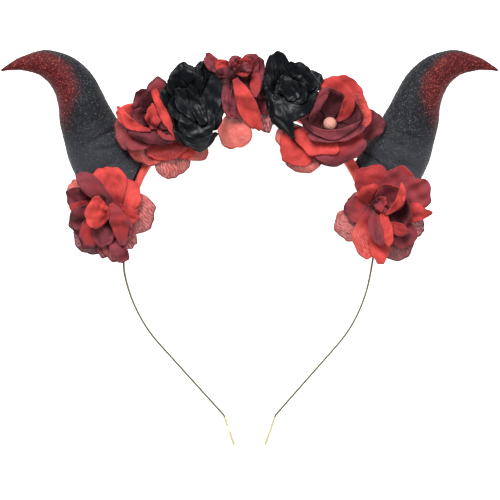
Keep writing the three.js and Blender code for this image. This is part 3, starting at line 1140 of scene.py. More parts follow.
    def cap_faces(self, outer: int, inner: int, turned: bool) -> list:
        """The faces of a cap: its outside, its bore, the mouth between them and the two closed ends.

        Args:
            outer: how many rings its outside has.
            inner: how many rings its bore has.
            turned: whether the faces look the other way.

        Returns:
            The corner numbers of each face.
        """
        around = self.cap_around
        rows = outer + inner
        faces = grid_faces(outer, around, 0, turned, wrap=True)
        faces += grid_faces(inner, around, outer * around, turned, wrap=True)
        ends = ((rows * around, outer - 1, turned), (rows * around + 1, outer, not turned))
        for j in range(around):
            k = (j + 1) % around
            mouth = (j, k, (rows - 1) * around + k, (rows - 1) * around + j)
            faces.append(mouth if turned else mouth[::-1])
            for middle, ring, way in ends:
                lid = (middle, ring * around + k, ring * around + j)
                faces.append(lid if way else lid[::-1])
        return faces


def start_tree(name: str, *sizes: str) -> tuple[NodeMaker, Node]:
    """Starts a Geometry Nodes tree.

    Args:
        name: what the tree is called.
        sizes: the names of its number inputs.

    Returns:
        A maker for its nodes, and its input node.
    """
    tree = bpy.data.node_groups.new(name, "GeometryNodeTree")
    tree.interface.new_socket("Geometry", in_out="INPUT", socket_type="NodeSocketGeometry")
    for key in sizes:
        tree.interface.new_socket(key, in_out="INPUT", socket_type="NodeSocketFloat")
    tree.interface.new_socket("Geometry", in_out="OUTPUT", socket_type="NodeSocketGeometry")
    make = NodeMaker(tree)
    return make, make.node("NodeGroupInput")


def end_tree(make: NodeMaker, shape: Socket, material: Material) -> Tree:
    """Ends a Geometry Nodes tree with plain geometry of one material.

    Args:
        make: the maker for its nodes.
        shape: the geometry that it has made.
        material: what that is made of.

    Returns:
        The tree.
    """
    whole = make.node("GeometryNodeRealizeInstances", Geometry=shape)
    painted = make.node("GeometryNodeSetMaterial", Geometry=whole.outputs[0], Material=material)
    make.node("NodeGroupOutput", i0=painted.outputs[0])
    return make.tree


def sweep_tree(material: Material, flat_way: Vector) -> Tree:
    """Geometry Nodes that sweep a flat band along a curve.

    Args:
        material: what the band is made of.
        flat_way: the way that the band's width points.

    Returns:
        The tree, with inputs named Thickness and Width.
    """
    corner_points, corner_radius = 3, 0.2 * MM
    make, given = start_tree("Flat band", "Thickness", "Width")
    profile = make.node(
        "GeometryNodeCurvePrimitiveQuadrilateral",
        Width=given.outputs["Width"], Height=given.outputs["Thickness"],
    )
    rounded = make.node(
        "GeometryNodeFilletCurve", {"mode": "POLY"},
        Curve=profile.outputs[0], i1=corner_points, i2=corner_radius,
    )
    turned = make.node(
        "GeometryNodeSetCurveNormal", {"mode": "FREE"}, Curve=given.outputs["Geometry"], i2=flat_way
    )
    swept = make.node(
        "GeometryNodeCurveToMesh", Curve=turned.outputs[0], Profile_Curve=rounded.outputs[0], Fill_Caps=True
    )
    return end_tree(make, swept.outputs[0], material)


def flake_tree(material: Material) -> Tree:
    """Geometry Nodes that scatter small tilted flakes over a surface.

    Args:
        material: what the flakes are made of.

    Returns:
        The tree, with inputs named Flakes per square metre and Flake size.
    """
    thick = 0.12 * MM
    most_tilt = 0.5
    smallest, largest = 0.5, 1.25
    make, given = start_tree("Scattered flakes", "Flakes per square metre", "Flake size")
    spots = make.node(
        "GeometryNodeDistributePointsOnFaces",
        Mesh=given.outputs["Geometry"], Density=given.outputs["Flakes per square metre"], Seed=3,
    )
    flake = make.node(
        "GeometryNodeMeshCone", {"fill_type": "NGON"},
        Vertices=4, Radius_Top=0.0, Radius_Bottom=given.outputs["Flake size"], Depth=thick,
    )
    tilt = make.node("FunctionNodeRandomValue", {"data_type": "FLOAT_VECTOR"}, Seed=4)
    tilt.inputs["Min"].default_value = (-most_tilt, -most_tilt, 0.0)
    tilt.inputs["Max"].default_value = (most_tilt, most_tilt, 2 * math.pi)
    turned = make.node(
        "FunctionNodeRotateRotation", {"rotation_space": "LOCAL"},
        Rotation=spots.outputs["Rotation"], Rotate_By=tilt.outputs["Value"],
    )
    grown = make.node("FunctionNodeRandomValue", {"data_type": "FLOAT"}, Seed=5)
    for key, value in (("Min_001", smallest), ("Max_001", largest)):
        next(s for s in grown.inputs if s.identifier == key).default_value = value
    size = next(s for s in grown.outputs if s.identifier == "Value_001")
    placed = make.node(
        "GeometryNodeInstanceOnPoints",
        Points=spots.outputs["Points"], Instance=flake.outputs["Mesh"],
        Rotation=turned.outputs[0], Scale=size,
    )
    return end_tree(make, placed.outputs[0], material)


def run_tree(thing: Piece, tree: Tree, sizes: dict[str, float]) -> Piece:
    """Runs Geometry Nodes on an object and puts the result in its place as a plain mesh.

    Args:
        thing: the object that the tree starts from, which is removed.
        tree: the Geometry Nodes tree.
        sizes: a value for each named input.

    Returns:
        A new object with the same name and a plain mesh.
    """
    modifier = thing.modifiers.new("make", "NODES")
    modifier.node_group = tree
    for item in tree.interface.items_tree:
        if item.in_out == "INPUT" and item.name in sizes:
            modifier[item.identifier] = sizes[item.name]
    bpy.context.view_layer.update()
    shown = thing.evaluated_get(bpy.context.evaluated_depsgraph_get())
    mesh = bpy.data.meshes.new_from_object(shown)
    name = thing.name
    bpy.data.objects.remove(thing)
    mesh.name = name
    return put_in_scene(name, mesh)


# Roses

class Part(Enum):
    """The parts of a rose, from the back to the front."""

    OUTER = "outer_petals"
    MIDDLE = "middle_petals"
    INNER = "inner_petals"
    BUD = "bud"


@dataclass(frozen=True)
class Petal:
    """One petal. Its places are pixels of the photograph and its lengths are millimetres.

    tip is where its rim is furthest out and root is where it comes out of the rose. wide is its
    greatest width, high its tip's height over the front of the felt and low its root's. tone runs
    from 0, bright, to 1, dark dye, at the root, and tip_tone does so at the rim. arch lifts its
    middle, cup lifts its two edges, lean lifts one edge and lowers the other, roll turns its rim
    down, point draws its tip out and pleat is how deep its folds are. lip changes the tone along the
    rim, grain turns the threads, in degrees, and bend moves the middle of its length to its left.
    streak is how strongly pale threads show; left out, they show on outer petals alone.
    """

    part: Part
    tip: Pixel
    wide: float
    high: float
    tone: float
    tip_tone: float
    root: Pixel | None = None
    low: float = 2.0
    arch: float = 1.0
    cup: float = 1.0
    lean: float = 0.0
    roll: float = 0.8
    point: float = 0.0
    pleat: float = 0.4
    lip: float = 0.0
    grain: float = 0.0
    bend: float = 0.0
    streak: float | None = None


def satin(part: Part, tip: Pixel, wide: float, high: float, **more: object) -> Petal:
    """A petal of black satin, which is crushed into sharp folds.

    Args:
        part: the part of the rose that it belongs to.
        tip: the pixel where its rim is furthest out.
        wide: its greatest width in millimetres.
        high: its tip's height over the felt in millimetres.
        more: other fields of the petal.

    Returns:
        The petal.
    """
    return Petal(part, tip, wide, high, 0.5, 0.3, **{"pleat": 1.1, "cup": 1.5, **more})


@dataclass(frozen=True)
class RosePlan:
    """One rose: its name, where its petals meet in the photograph and its petals, lowest first."""

    name: str
    eye: Pixel
    seed: int
    petals: tuple[Petal, ...]


OUTER, MIDDLE, INNER, BUD = Part.OUTER, Part.MIDDLE, Part.INNER, Part.BUD

PLANS = (
    RosePlan("red_rose_5", (108, 212), 5, (
        Petal(OUTER, (155.5, 217), 18.5, 4, 0.35, 0.45, root=(112, 211), grain=25),
        Petal(OUTER, (134.5, 247), 10, 3, 0.2, 0.45, root=(116, 222)),
        Petal(OUTER, (84.5, 253), 19, 3, 0.3, 0.7, root=(104, 222), grain=20, streak=0.6),
        Petal(OUTER, (103, 258), 11, 3, 0.45, 0.6, streak=0.4),
        Petal(OUTER, (117, 264), 13, 3, 0.35, 0.5, streak=0.5),
        Petal(OUTER, (69, 182), 10, 5, 0.0, 0.05, root=(98, 204), streak=0.5),
        Petal(OUTER, (70, 226), 18, 4, 0.6, 0.75, streak=0.5),
        Petal(MIDDLE, (140, 200), 13, 7, 0.0, 0.0, root=(113, 207), cup=0.5),
        Petal(MIDDLE, (137, 184), 16, 8, 0.0, 0.0, root=(112, 206), cup=0.5),
        Petal(MIDDLE, (103, 165), 17, 8, 0.05, 0.0, root=(117, 207), cup=0.5, pleat=0.7, grain=20),
        Petal(MIDDLE, (65.5, 194), 12, 9, 0.8, 0.7, cup=2.5),
        Petal(MIDDLE, (68, 208), 8, 8, 0.3, 0.3),
        Petal(MIDDLE, (69, 222), 12, 8, 0.65, 0.75, cup=2.5),
        Petal(MIDDLE, (83, 248), 13, 7, 0.2, 0.3, lip=0.4, cup=2.0),
        Petal(MIDDLE, (125, 264), 8, 8, 0.55, 0.75, root=(109, 226), lip=-0.2),
        Petal(MIDDLE, (137, 221), 9, 8, 0.1, 0.15, root=(115, 207)),
        Petal(MIDDLE, (132, 236), 6.5, 9, 0.3, 0.65, root=(116, 210)),
        Petal(INNER, (100, 248), 11, 8, 0.8, 0.7, lip=-0.1, cup=2.5),
        Petal(INNER, (77, 172.5), 8.5, 14, 0.5, 0.65, root=(113, 205), arch=2.0, lip=-0.1),
        Petal(INNER, (112.5, 202), 8, 13, 0.3, 0.35, root=(123, 246), low=8.0, pleat=0.6, bend=-0.8),
        Petal(BUD, (92, 199), 7, 14, 0.75, 0.85, root=(109, 208)),
        Petal(BUD, (85, 212), 14.5, 17, 0.0, 0.0, root=(111, 214), pleat=1.5, cup=3.0, arch=2.5, lip=-0.1),
    )),
    RosePlan("red_rose_1", (372.5, 205.5), 1, (
        Petal(OUTER, (337, 235), 16, 3, 0.3, 0.5, root=(363, 214), grain=60),
        Petal(OUTER, (348, 200), 11, 4, 0.5, 0.6, grain=30),
        Petal(OUTER, (426, 231), 12.5, 4, 0.6, 0.7, root=(395, 218)),
        Petal(OUTER, (406, 258.5), 18, 4, 0.45, 0.6, root=(384, 222), streak=0.5),
        Petal(MIDDLE, (372, 163.5), 17, 8, 0.4, 0.25, cup=2.0),
        Petal(MIDDLE, (411, 171), 18, 9, 0.45, 0.55, root=(384, 205), lip=-0.25, cup=2.5),
        Petal(MIDDLE, (432.5, 187), 16, 11, 0.55, 0.5, root=(388, 205), pleat=1.4, cup=2.0),
        Petal(MIDDLE, (427.5, 212), 9, 8, 0.1, 0.05, root=(392, 213), point=0.15),
        Petal(MIDDLE, (345, 213), 13, 7, 0.3, 0.55, lip=0.2),
        Petal(MIDDLE, (368, 184), 11, 12, 0.25, 0.1, arch=2.0),
        Petal(
            MIDDLE, (369, 260), 18.5, 7, 0.15, 0.0, root=(374, 208),
            cup=2.0, lip=-0.1, streak=0.8, grain=-30,
        ),
        Petal(MIDDLE, (380, 264), 10, 7, 0.1, 0.0, root=(376, 214)),
        Petal(MIDDLE, (413, 246), 13, 6, 0.75, 0.6, root=(388, 220), cup=2.5, lip=-0.1),
        Petal(INNER, (412, 212), 17, 12, 0.85, 0.95, root=(379, 213), arch=-4.0, cup=4.0, lip=-0.3),
        Petal(INNER, (409, 233), 5.5, 10, 0.35, 0.3, root=(386, 224), low=9.0),
        Petal(INNER, (391, 246), 6, 13, 0.1, 0.0, root=(383, 209), lip=-0.2, bend=-1.0, low=9.0),
        Petal(INNER, (382, 248), 5.5, 13, 0.5, 0.6, root=(373, 204), lip=-0.15, bend=-1.0),
        Petal(BUD, (403, 190), 13, 16, 0.6, 0.5, root=(373, 209), arch=-3.0, cup=4.0, lip=-0.3, roll=-1.0),
        Petal(BUD, (387, 200), 5, 12, 0.55, 0.35),
        Petal(BUD, (384, 210), 4, 12, 0.6, 0.4, root=(373, 201)),
        Petal(BUD, (402, 182), 4, 15, 0.0, 0.0, root=(385, 215), low=9.0, bend=-3.2, pleat=0.1),
    )),
    RosePlan("red_rose_4", (155, 120), 4, (
        Petal(OUTER, (177, 179), 17, 3, 0.25, 0.45, root=(168, 138)),
        Petal(OUTER, (208.5, 156), 13, 3, 0.0, 0.0, root=(174, 136), grain=80, streak=0.5),
        Petal(OUTER, (114.5, 139), 18, 5, 0.5, 0.55, streak=0.15),
        Petal(OUTER, (143, 166), 19, 4, 0.3, 0.25, streak=0.35),
        Petal(MIDDLE, (115.5, 114), 13, 10, 0.4, 0.1, lip=-0.3, cup=2.0),
        Petal(MIDDLE, (195, 154), 12, 6, 0.0, 0.0, root=(170, 135)),
        Petal(MIDDLE, (170, 160), 20, 7, 0.2, 0.3, root=(163, 129), lip=-0.2, streak=0.2),
        Petal(MIDDLE, (140, 88.5), 13.5, 11, 0.85, 0.75, cup=2.5),
        Petal(MIDDLE, (160, 76), 12, 11, 0.3, 0.6, lip=0.2),
        Petal(MIDDLE, (127, 149), 13, 9, 0.5, 0.5, root=(152, 124), cup=2.0),
        Petal(MIDDLE, (151, 145), 22, 11, 0.85, 0.8, root=(155, 122), arch=3.0, cup=2.0),
        Petal(MIDDLE, (184, 134), 12, 10, 0.3, 0.4),
        Petal(INNER, (131, 114), 9, 12, 0.8, 0.7),
        Petal(INNER, (117, 107), 4.5, 12, 0.1, 0.0, root=(151, 131), bend=2.6, low=8.0, pleat=0.1),
        Petal(INNER, (148, 90), 9, 13, 1.0, 0.9),
        Petal(INNER, (160, 97), 7, 14, 1.0, 1.0, root=(168, 134), low=8.0),
        Petal(BUD, (144, 115), 5, 14, 0.9, 0.9, root=(156, 124)),
        Petal(BUD, (169, 129), 4, 13, 0.9, 0.8),
        Petal(BUD, (152.5, 106), 7.5, 16, 0.15, 0.0, root=(154, 130), lip=-0.2, cup=-2.0, point=0.1),
        Petal(BUD, (152.5, 87), 4, 15, 0.0, 0.0, root=(178, 141), low=8.0, pleat=0.1, lean=-1.5, bend=0.7),
    )),
    RosePlan("red_rose_2", (330, 118), 2, (
        Petal(OUTER, (296, 172), 18, 3, 0.05, 0.2, root=(309, 138)),
        Petal(OUTER, (276.5, 144), 16, 4, 0.0, 0.0, root=(308, 133), grain=70),
        Petal(MIDDLE, (384, 120), 15, 5, 0.75, 0.7, root=(348, 130)),
        Petal(OUTER, (336, 167), 22, 4, 0.5, 0.65, root=(332, 130)),
        Petal(OUTER, (362, 150), 10, 4, 0.6, 0.6),
        Petal(MIDDLE, (282, 160), 18, 5, 0.0, 0.0, root=(318, 132), cup=2.0),
        Petal(MIDDLE, (344, 74.5), 20, 12, 0.2, 0.05, root=(336, 114), cup=2.0),
        Petal(MIDDLE, (371, 109), 17.5, 10, 0.7, 0.1, root=(342, 115), cup=2.5, streak=0.35),
        Petal(MIDDLE, (361, 140), 10, 7, 0.05, 0.1),
        Petal(MIDDLE, (343, 164), 24, 8, 0.3, 0.55, root=(335, 130), arch=3.0, cup=2.0),
        Petal(MIDDLE, (312, 152), 22, 9, 0.0, 0.0, root=(322, 128), point=0.2, cup=2.0),
        Petal(MIDDLE, (346, 104), 15, 9, 0.95, 0.95, root=(318, 130)),
        Petal(INNER, (338, 143), 26, 13, 0.85, 0.65, root=(334, 118), lip=-0.1, cup=3.0),
        Petal(INNER, (306, 108), 18, 13, 0.9, 0.75, root=(330, 122), cup=3.0),
        Petal(INNER, (361, 108), 13, 12, 0.95, 0.9, root=(338, 118), cup=3.0),
        Petal(INNER, (332, 88), 12, 14, 1.0, 1.0, root=(330, 119), arch=-3.0, cup=4.0, lip=-0.35),
        Petal(INNER, (351, 94), 5.5, 15, 0.2, 0.1, root=(337, 122), low=6.0, bend=-1.5),
        Petal(INNER, (331, 88), 4.5, 14, 0.6, 0.6, root=(302, 121), low=10.0, bend=1.0, pleat=0.1),
        Petal(INNER, (327, 94), 3.5, 13, 0.7, 0.65, root=(309, 124), low=10.0, bend=1.0, pleat=0.1),
        Petal(INNER, (361, 121), 4.5, 12, 0.65, 0.6, root=(301, 121), low=11.0, bend=-6.6, pleat=0.1),
    )),
    RosePlan("black_rose_2", (188, 100), 12, (
        satin(OUTER, (198, 150), 18, 9, roll=2.5),
        satin(OUTER, (228, 98), 24, 10, root=(195, 100), pleat=0.2, cup=0.8),
        satin(OUTER, (221, 72), 18, 8, pleat=0.3),
        satin(OUTER, (221, 127), 14, 8, pleat=0.3),
        satin(OUTER, (161, 91), 12, 12, pleat=0.5),
        satin(MIDDLE, (186, 61.5), 14, 14, root=(184, 102), arch=3.0, roll=2.5, pleat=0.25),
        satin(MIDDLE, (205, 60), 7, 11, root=(198, 92), pleat=1.6),
        satin(MIDDLE, (168, 80), 9, 12, pleat=0.6),
        satin(MIDDLE, (175, 121), 15, 13, root=(196, 94), pleat=0.2, cup=0.5),
        satin(MIDDLE, (217, 74), 10, 11, root=(204, 134), pleat=0.2, arch=1.0),
        satin(INNER, (199, 141), 17, 13, root=(194, 100), pleat=0.4, cup=2.5),
        satin(INNER, (219, 133), 6, 13, root=(177, 133), low=12.0, bend=-5.5, roll=2.0, pleat=0.2),
        satin(INNER, (204, 76), 5, 13, root=(190, 106), pleat=1.4),
        satin(BUD, (176, 88), 9, 14, root=(198, 122), pleat=0.5, cup=0.5),
        satin(BUD, (205, 126), 7, 14, root=(190, 86), pleat=0.6, cup=0.5),
    )),
    RosePlan("red_rose_3", (243, 72), 3, (
        Petal(OUTER, (232, 150.5), 15.5, 3, 0.0, 0.0, root=(238, 110), grain=85),
        Petal(OUTER, (268, 133), 9, 3, 0.6, 0.7, root=(256, 98)),
        Petal(MIDDLE, (271, 112), 10, 5, 0.7, 0.65, root=(252, 90)),
        Petal(MIDDLE, (231, 94), 10, 5, 0.9, 0.9, root=(238, 62)),
        Petal(MIDDLE, (262, 100), 10, 6, 0.75, 0.7, root=(253, 62)),
        Petal(MIDDLE, (204, 54), 6.5, 12, 0.6, 0.6, root=(232, 76), lip=-0.1, bend=0.7),
        Petal(MIDDLE, (216, 60), 6.5, 12, 0.15, 0.15, root=(232, 74)),
        Petal(MIDDLE, (215, 74), 5, 8, 0.85, 0.8),
        Petal(MIDDLE, (264.5, 76), 16, 10, 0.7, 0.65),
        Petal(MIDDLE, (228, 118), 6.5, 8, 0.7, 0.6, root=(231, 72), lip=-0.15),
        Petal(MIDDLE, (236, 120), 6.5, 7, 0.6, 0.75, root=(236, 84)),
        Petal(MIDDLE, (231, 56), 7, 12, 0.5, 0.55, pleat=1.2),
        Petal(MIDDLE, (257, 55.5), 8, 12, 0.55, 0.6, pleat=1.2),
        Petal(MIDDLE, (245, 58), 7, 12, 0.25, 0.2, pleat=1.2),
        Petal(INNER, (250, 58), 6, 13, 0.4, 0.3, pleat=1.2),
        Petal(INNER, (247, 98), 12, 12, 0.85, 0.85, arch=-2.0, cup=3.0),
        Petal(MIDDLE, (259.5, 131), 9, 6, 0.0, 0.0, root=(235, 79), low=9.0, lean=1.5),
        Petal(INNER, (256, 97), 5, 14, 0.35, 0.3, root=(256, 68), lip=0.2),
        Petal(INNER, (248, 75), 4, 16, 0.25, 0.2, root=(233, 65)),
        Petal(BUD, (240, 64), 6, 14, 0.7, 0.7),
        Petal(BUD, (251, 64), 5, 15, 0.6, 0.6),
    )),
    RosePlan("black_rose_1", (285, 84), 11, (
        satin(OUTER, (268, 104), 10, 7),
        satin(OUTER, (273, 124), 8, 8),
        satin(OUTER, (324, 81), 12, 10, pleat=0.5),
        satin(OUTER, (319, 96), 14, 9, pleat=0.5),
        satin(OUTER, (261, 83), 15, 9, pleat=0.6),
        satin(MIDDLE, (276, 49.5), 12, 13, root=(281, 98), arch=2.5, pleat=0.9),
        satin(MIDDLE, (310, 67), 16, 13, root=(288, 94), pleat=0.9),
        satin(MIDDLE, (299, 121), 18, 12, root=(286, 84), arch=3.0, pleat=0.4),
        satin(MIDDLE, (290.5, 132), 9, 11, root=(266, 88), point=0.2, pleat=0.5, lean=2.0),
        satin(INNER, (292, 61), 6, 15, root=(288, 92), pleat=1.6),
        satin(INNER, (280, 68), 7, 14, root=(284, 94), pleat=1.4),
        satin(INNER, (304, 77), 8, 14, root=(288, 92), pleat=1.4),
        satin(INNER, (306, 99), 10, 14, root=(284, 86), pleat=0.6),
        satin(BUD, (275, 88), 8, 13, root=(298, 86), pleat=0.6),
        satin(BUD, (297, 100), 8, 13, root=(282, 76), pleat=0.6),
    )),
)


@dataclass
class Cover:
    """How high the highest thing is at each place of the hoop's plane, seen from the front."""

    cell: float = 0.4 * MM
    half_wide: float = 126 * MM
    half_high: float = 100 * MM
    nothing: float = -50 * MM

    def __post_init__(self) -> None:
        """Starts with nothing there."""
        shape = (int(2 * self.half_high / self.cell), int(2 * self.half_wide / self.cell))
        self.top = np.full(shape, self.nothing)
        self.near = self.top.copy()

    def spots(self, points: np.ndarray) -> tuple[np.ndarray, np.ndarray]:
        """Finds the cells that points lie in.

        Args:
            points: places in the hoop's frame.

        Returns:
            The row and the column of each point.
        """
        row = ((points[..., 1] + self.half_high) / self.cell).astype(int)
        column = ((points[..., 0] + self.half_wide) / self.cell).astype(int)
        return np.clip(row, 0, self.top.shape[0] - 1), np.clip(column, 0, self.top.shape[1] - 1)

    def add(self, grid: np.ndarray, finer: int = 4) -> None:
        """Adds a grid of points to what is there.

        Args:
            grid: points in the hoop's frame, in rows.
            finer: how many points to look at for each one, both ways.
        """
        dense = grid
        for axis in (0, 1):
            count = dense.shape[axis]
            at = np.linspace(0, count - 1, (count - 1) * finer + 1)
            low = np.minimum(at.astype(int), count - 2)
            part = (at - low).reshape((-1, 1, 1) if axis == 0 else (1, -1, 1))
            dense = np.take(dense, low, axis) * (1 - part) + np.take(dense, low + 1, axis) * part
        row, column = self.spots(dense)
        np.maximum.at(self.top, (row, column), dense[..., 2])
        wide = self.top
        for axis in (0, 1):
            wide = np.maximum(wide, np.maximum(np.roll(wide, 1, axis), np.roll(wide, -1, axis)))
        self.near = wide

    def under(self, points: np.ndarray) -> np.ndarray:
        """Looks up what lies under points.

        Args:
            points: places in the hoop's frame.

        Returns:
            The height of what is there at or beside each point.
        """
        row, column = self.spots(points)
        return self.near[row, column]


def relaxed(need: np.ndarray, passes: int = 50, fade: float = 0.97) -> np.ndarray:
    """A smooth field that is nowhere less than what is needed.

    Args:
        need: the least value at each place of a grid.
        passes: how far the smoothing reaches.
        fade: how much the field keeps from one place to the next.

    Returns:
        The smooth field.
    """
    field_now = need.copy()
    for _ in range(passes):
        wide = np.pad(field_now, 1, mode="edge")
        mean = (wide[:-2, 1:-1] + wide[2:, 1:-1] + wide[1:-1, :-2] + wide[1:-1, 2:]) / 4
        field_now = np.maximum(need, mean * fade)
    return field_now


@dataclass
class ClothCut:
    """The flat cloth that one part of a rose is cut from, with its petals side by side.

    The width is the sum of the petals' mean widths, boxes the sum of each petal's mean width times its
    greatest length and area the sum of their areas.
    """

    shortest: ClassVar[float] = 10 * MM

    width: float = 0.0
    boxes: float = 0.0
    area: float = 0.0

    def add(self, middle: np.ndarray) -> None:
        """Counts one petal.

        Args:
            middle: its middle surface, as rows of points.
        """
        along = np.linalg.norm(np.diff(middle, axis=0), axis=-1).sum(axis=0)
        across = np.linalg.norm(np.diff(middle, axis=1), axis=-1).sum(axis=1)
        a, b, c, d = middle[:-1, :-1], middle[:-1, 1:], middle[1:, 1:], middle[1:, :-1]
        one_half = np.linalg.norm(np.cross(b - a, c - a), axis=-1)
        other_half = np.linalg.norm(np.cross(c - a, d - a), axis=-1)
        self.width += float(across.mean())
        self.boxes += float(across.mean() * along.max())
        self.area += float((one_half + other_half).sum() / 2)

    def declare(self, thing: Piece, core: str) -> None:
        """Does nothing with the piece or the core.

        Args:
            thing: not used.
            core: not used.
        """


@dataclass(frozen=True)
class Crumple:
    """Waves all over a petal: their length, what picks them and their size each way, in millimetres."""

    length: float
    seed: int
    size: tuple[float, float, float]


CRUMPLES = (Crumple(17 * MM, 50, (0.5, 0.5, 1.4)), Crumple(6 * MM, 70, (0.1, 0.1, 0.35)))
CLOTH_SLOTS = {Cloth.BLACK: "black_cloth", Cloth.SHEER: "sheer_red_cloth", Cloth.RED: "red_cloth"}


@dataclass
class Rose:
    """One cloth rose, with its petals laid one on another from the back to the front.

    In the methods u runs from -1 to 1 across a petal, s from 0 to 1 from its root to its rim and t
    from 0 to about 1 over its full length. edge is 1 at its rim and less further in. roll_span and
    lip_span are ranges of edge and the other spans ranges of s. Names that end in _share are
    shares of the petal's length.
    """

    hoop: HoopFrame
    plan: RosePlan
    cover: Cover
    wall: float = 0.36 * MM
    clear: float = 0.5 * MM
    columns: int = 33
    rows: int = 25
    rounding: float = 0.48
    point_width: float = 0.3
    wave_share: float = 0.025
    wave_inset: float = 0.02
    nick_share: float = 0.012
    fold_power: float = 0.7
    neck: float = 0.28
    full_at: float = 0.62
    neck_power: float = 1.1
    side_power: int = 3
    side_span: Span = (0.3, 0.8)
    roll_span: Span = (0.75, 1.0)
    roll_power: float = 1.5
    fold_fade: float = 0.4
    loose_span: Span = (0.1, 0.7)
    map_step: float = 0.05
    rim_power: int = 4
    rim_span: Span = (0.2, 0.7)
    tone_span: Span = (0.35, 0.95)
    # Painted shade: each petal's tone is darkened towards its root, standing in for the shade deep in the
    # rose.
    painted_root_shade: float = 0.3
    root_shade_span: Span = (0.0, 0.45)
    lip_span: Span = (0.84, 0.95)
    streak_span: Span = (0.3, 0.7)

    def cloth(self, part: Part) -> Cloth:
        """Chooses a cloth.

        Args:
            part: the part of the rose.

        Returns:
            The cloth that its petals are cut from.
        """
        if self.plan.name.startswith("black"):
            return Cloth.BLACK
        return Cloth.SHEER if part is Part.OUTER else Cloth.RED

    def seen(self, place: Pixel, high: float) -> np.ndarray:
        """The place in the hoop's frame that the camera sees at a pixel.

        Args:
            place: the pixel of the photograph.
            high: the height over the front of the felt, in millimetres.

        Returns:
            The place.
        """
        up = high * MM + self.hoop.felt_width / 2
        scale = MM_PER_PX * MM * (CAMERA_AWAY - up) / CAMERA_AWAY
        return np.array([(place[0] - HOOP_CENTRE_PX[0]) * scale, (HOOP_CENTRE_PX[1] - place[1]) * scale, up])

    def outline(self, petal: Petal, u: np.ndarray, rng: np.random.Generator) -> np.ndarray:
        """How far out a petal reaches, with its point and its uneven rim.

        Args:
            petal: the petal.
            u: the places across it.
            rng: draws the unevenness.

        Returns:
            The share of its length that it reaches at each place.
        """
        end = 1.0 - self.rounding * (1.0 - np.sqrt(np.maximum(0.0, 1.0 - u**2)))
        end = end + petal.point * np.exp(-((u / self.point_width) ** 2))
        end = end + self.wave_share * np.sin(u * rng.uniform(3, 6) + rng.uniform(0, 6)) - self.wave_inset
        return end + self.nick_share * np.sin(u * rng.uniform(9, 14) + rng.uniform(0, 6))

    def rise(self, petal: Petal, u: np.ndarray, s: np.ndarray, t: np.ndarray, fold: np.ndarray) -> np.ndarray:
        """How high a petal stands over its root.

        Args:
            petal: the petal.
            u: the places across it.
            s: the places from its root to its rim.
            t: the same as shares of its full length.
            fold: how high its folds are across it, from about -0.5 to 0.5.

        Returns:
            The height at each place, in millimetres.
        """
        edge = np.maximum(s, np.abs(u) ** self.side_power * smooth(*self.side_span, s))
        rise = (petal.high - petal.low) * t + petal.arch * np.sin(math.pi * np.minimum(t, 1.0))
        rolled = petal.roll * smooth(*self.roll_span, edge) ** self.roll_power
        rise = rise + petal.cup * u**2 * t + petal.lean * u * t - rolled
        return rise + petal.pleat * fold * np.sqrt(t) * (1.0 - self.fold_fade * t)

    def sheet(self, petal: Petal, index: int) -> np.ndarray:
        """Lays one petal over what is already there.

        Args:
            petal: the petal.
            index: its number in the rose.

        Returns:
            Its middle surface in the hoop's frame, as rows of points from its root to its rim.
        """
        rng = np.random.default_rng(self.plan.seed * 100 + index)
        u = np.sin(math.pi / 2 * np.linspace(-1.0, 1.0, self.columns))[None, :]
        s = np.linspace(0.0, 1.0, self.rows)[:, None]
        root = self.seen(petal.root or self.plan.eye, petal.low)
        tip = self.seen(petal.tip, petal.high)
        way = (tip - root)[:2]
        reach = np.linalg.norm(way)
        way = way / reach
        side = np.array([-way[1], way[0]])
        end = self.outline(petal, u, rng)
        fold = 0.5 - np.abs(np.sin(u * rng.uniform(3, 5) + rng.uniform(0, 3))) ** self.fold_power
        t = s * end
        widening = np.sin(math.pi / 2 * np.minimum(t / self.full_at, 1.0)) ** self.neck_power
        across = u * (petal.wide * MM / 2 * (self.neck + (1 - self.neck) * widening))
        bow = petal.bend * MM * np.sin(math.pi * t)
        points = np.empty((self.rows, self.columns, 3))
        for axis in (0, 1):
            points[..., axis] = root[axis] + way[axis] * t * reach + side[axis] * (across + bow)
        points[..., 2] = root[2] + self.rise(petal, u, s, t, fold) * MM
        loose = smooth(*self.loose_span, s)[..., None]
        for crumple in CRUMPLES:
            waves = wavy(points, crumple.length, self.plan.seed * crumple.seed + index)
            points += waves * loose * np.array(crumple.size) * MM
        need = np.maximum(0.0, self.cover.under(points) + self.clear - points[..., 2])
        points[..., 2] += relaxed(need)
        self.cover.add(points)
        return points

    def petal_faces(self) -> list:
        """The faces of one petal.

        Returns:
            The corner numbers of each face of its two sides and of the rim between them.
        """
        rows, columns = self.rows, self.columns
        back = rows * columns
        border = (
            [(0, j) for j in range(columns)]
            + [(i, columns - 1) for i in range(1, rows)]
            + [(rows - 1, j) for j in range(columns - 2, -1, -1)]
            + [(i, 0) for i in range(rows - 2, 0, -1)]
        )
        faces = grid_faces(rows, columns, 0) + grid_faces(rows, columns, back, turned=True)
        numbers = [i * columns + j for i, j in border]
        for a, b in zip(numbers, numbers[1:] + numbers[:1]):
            faces.append((b, a, a + back, b + back))
        return faces

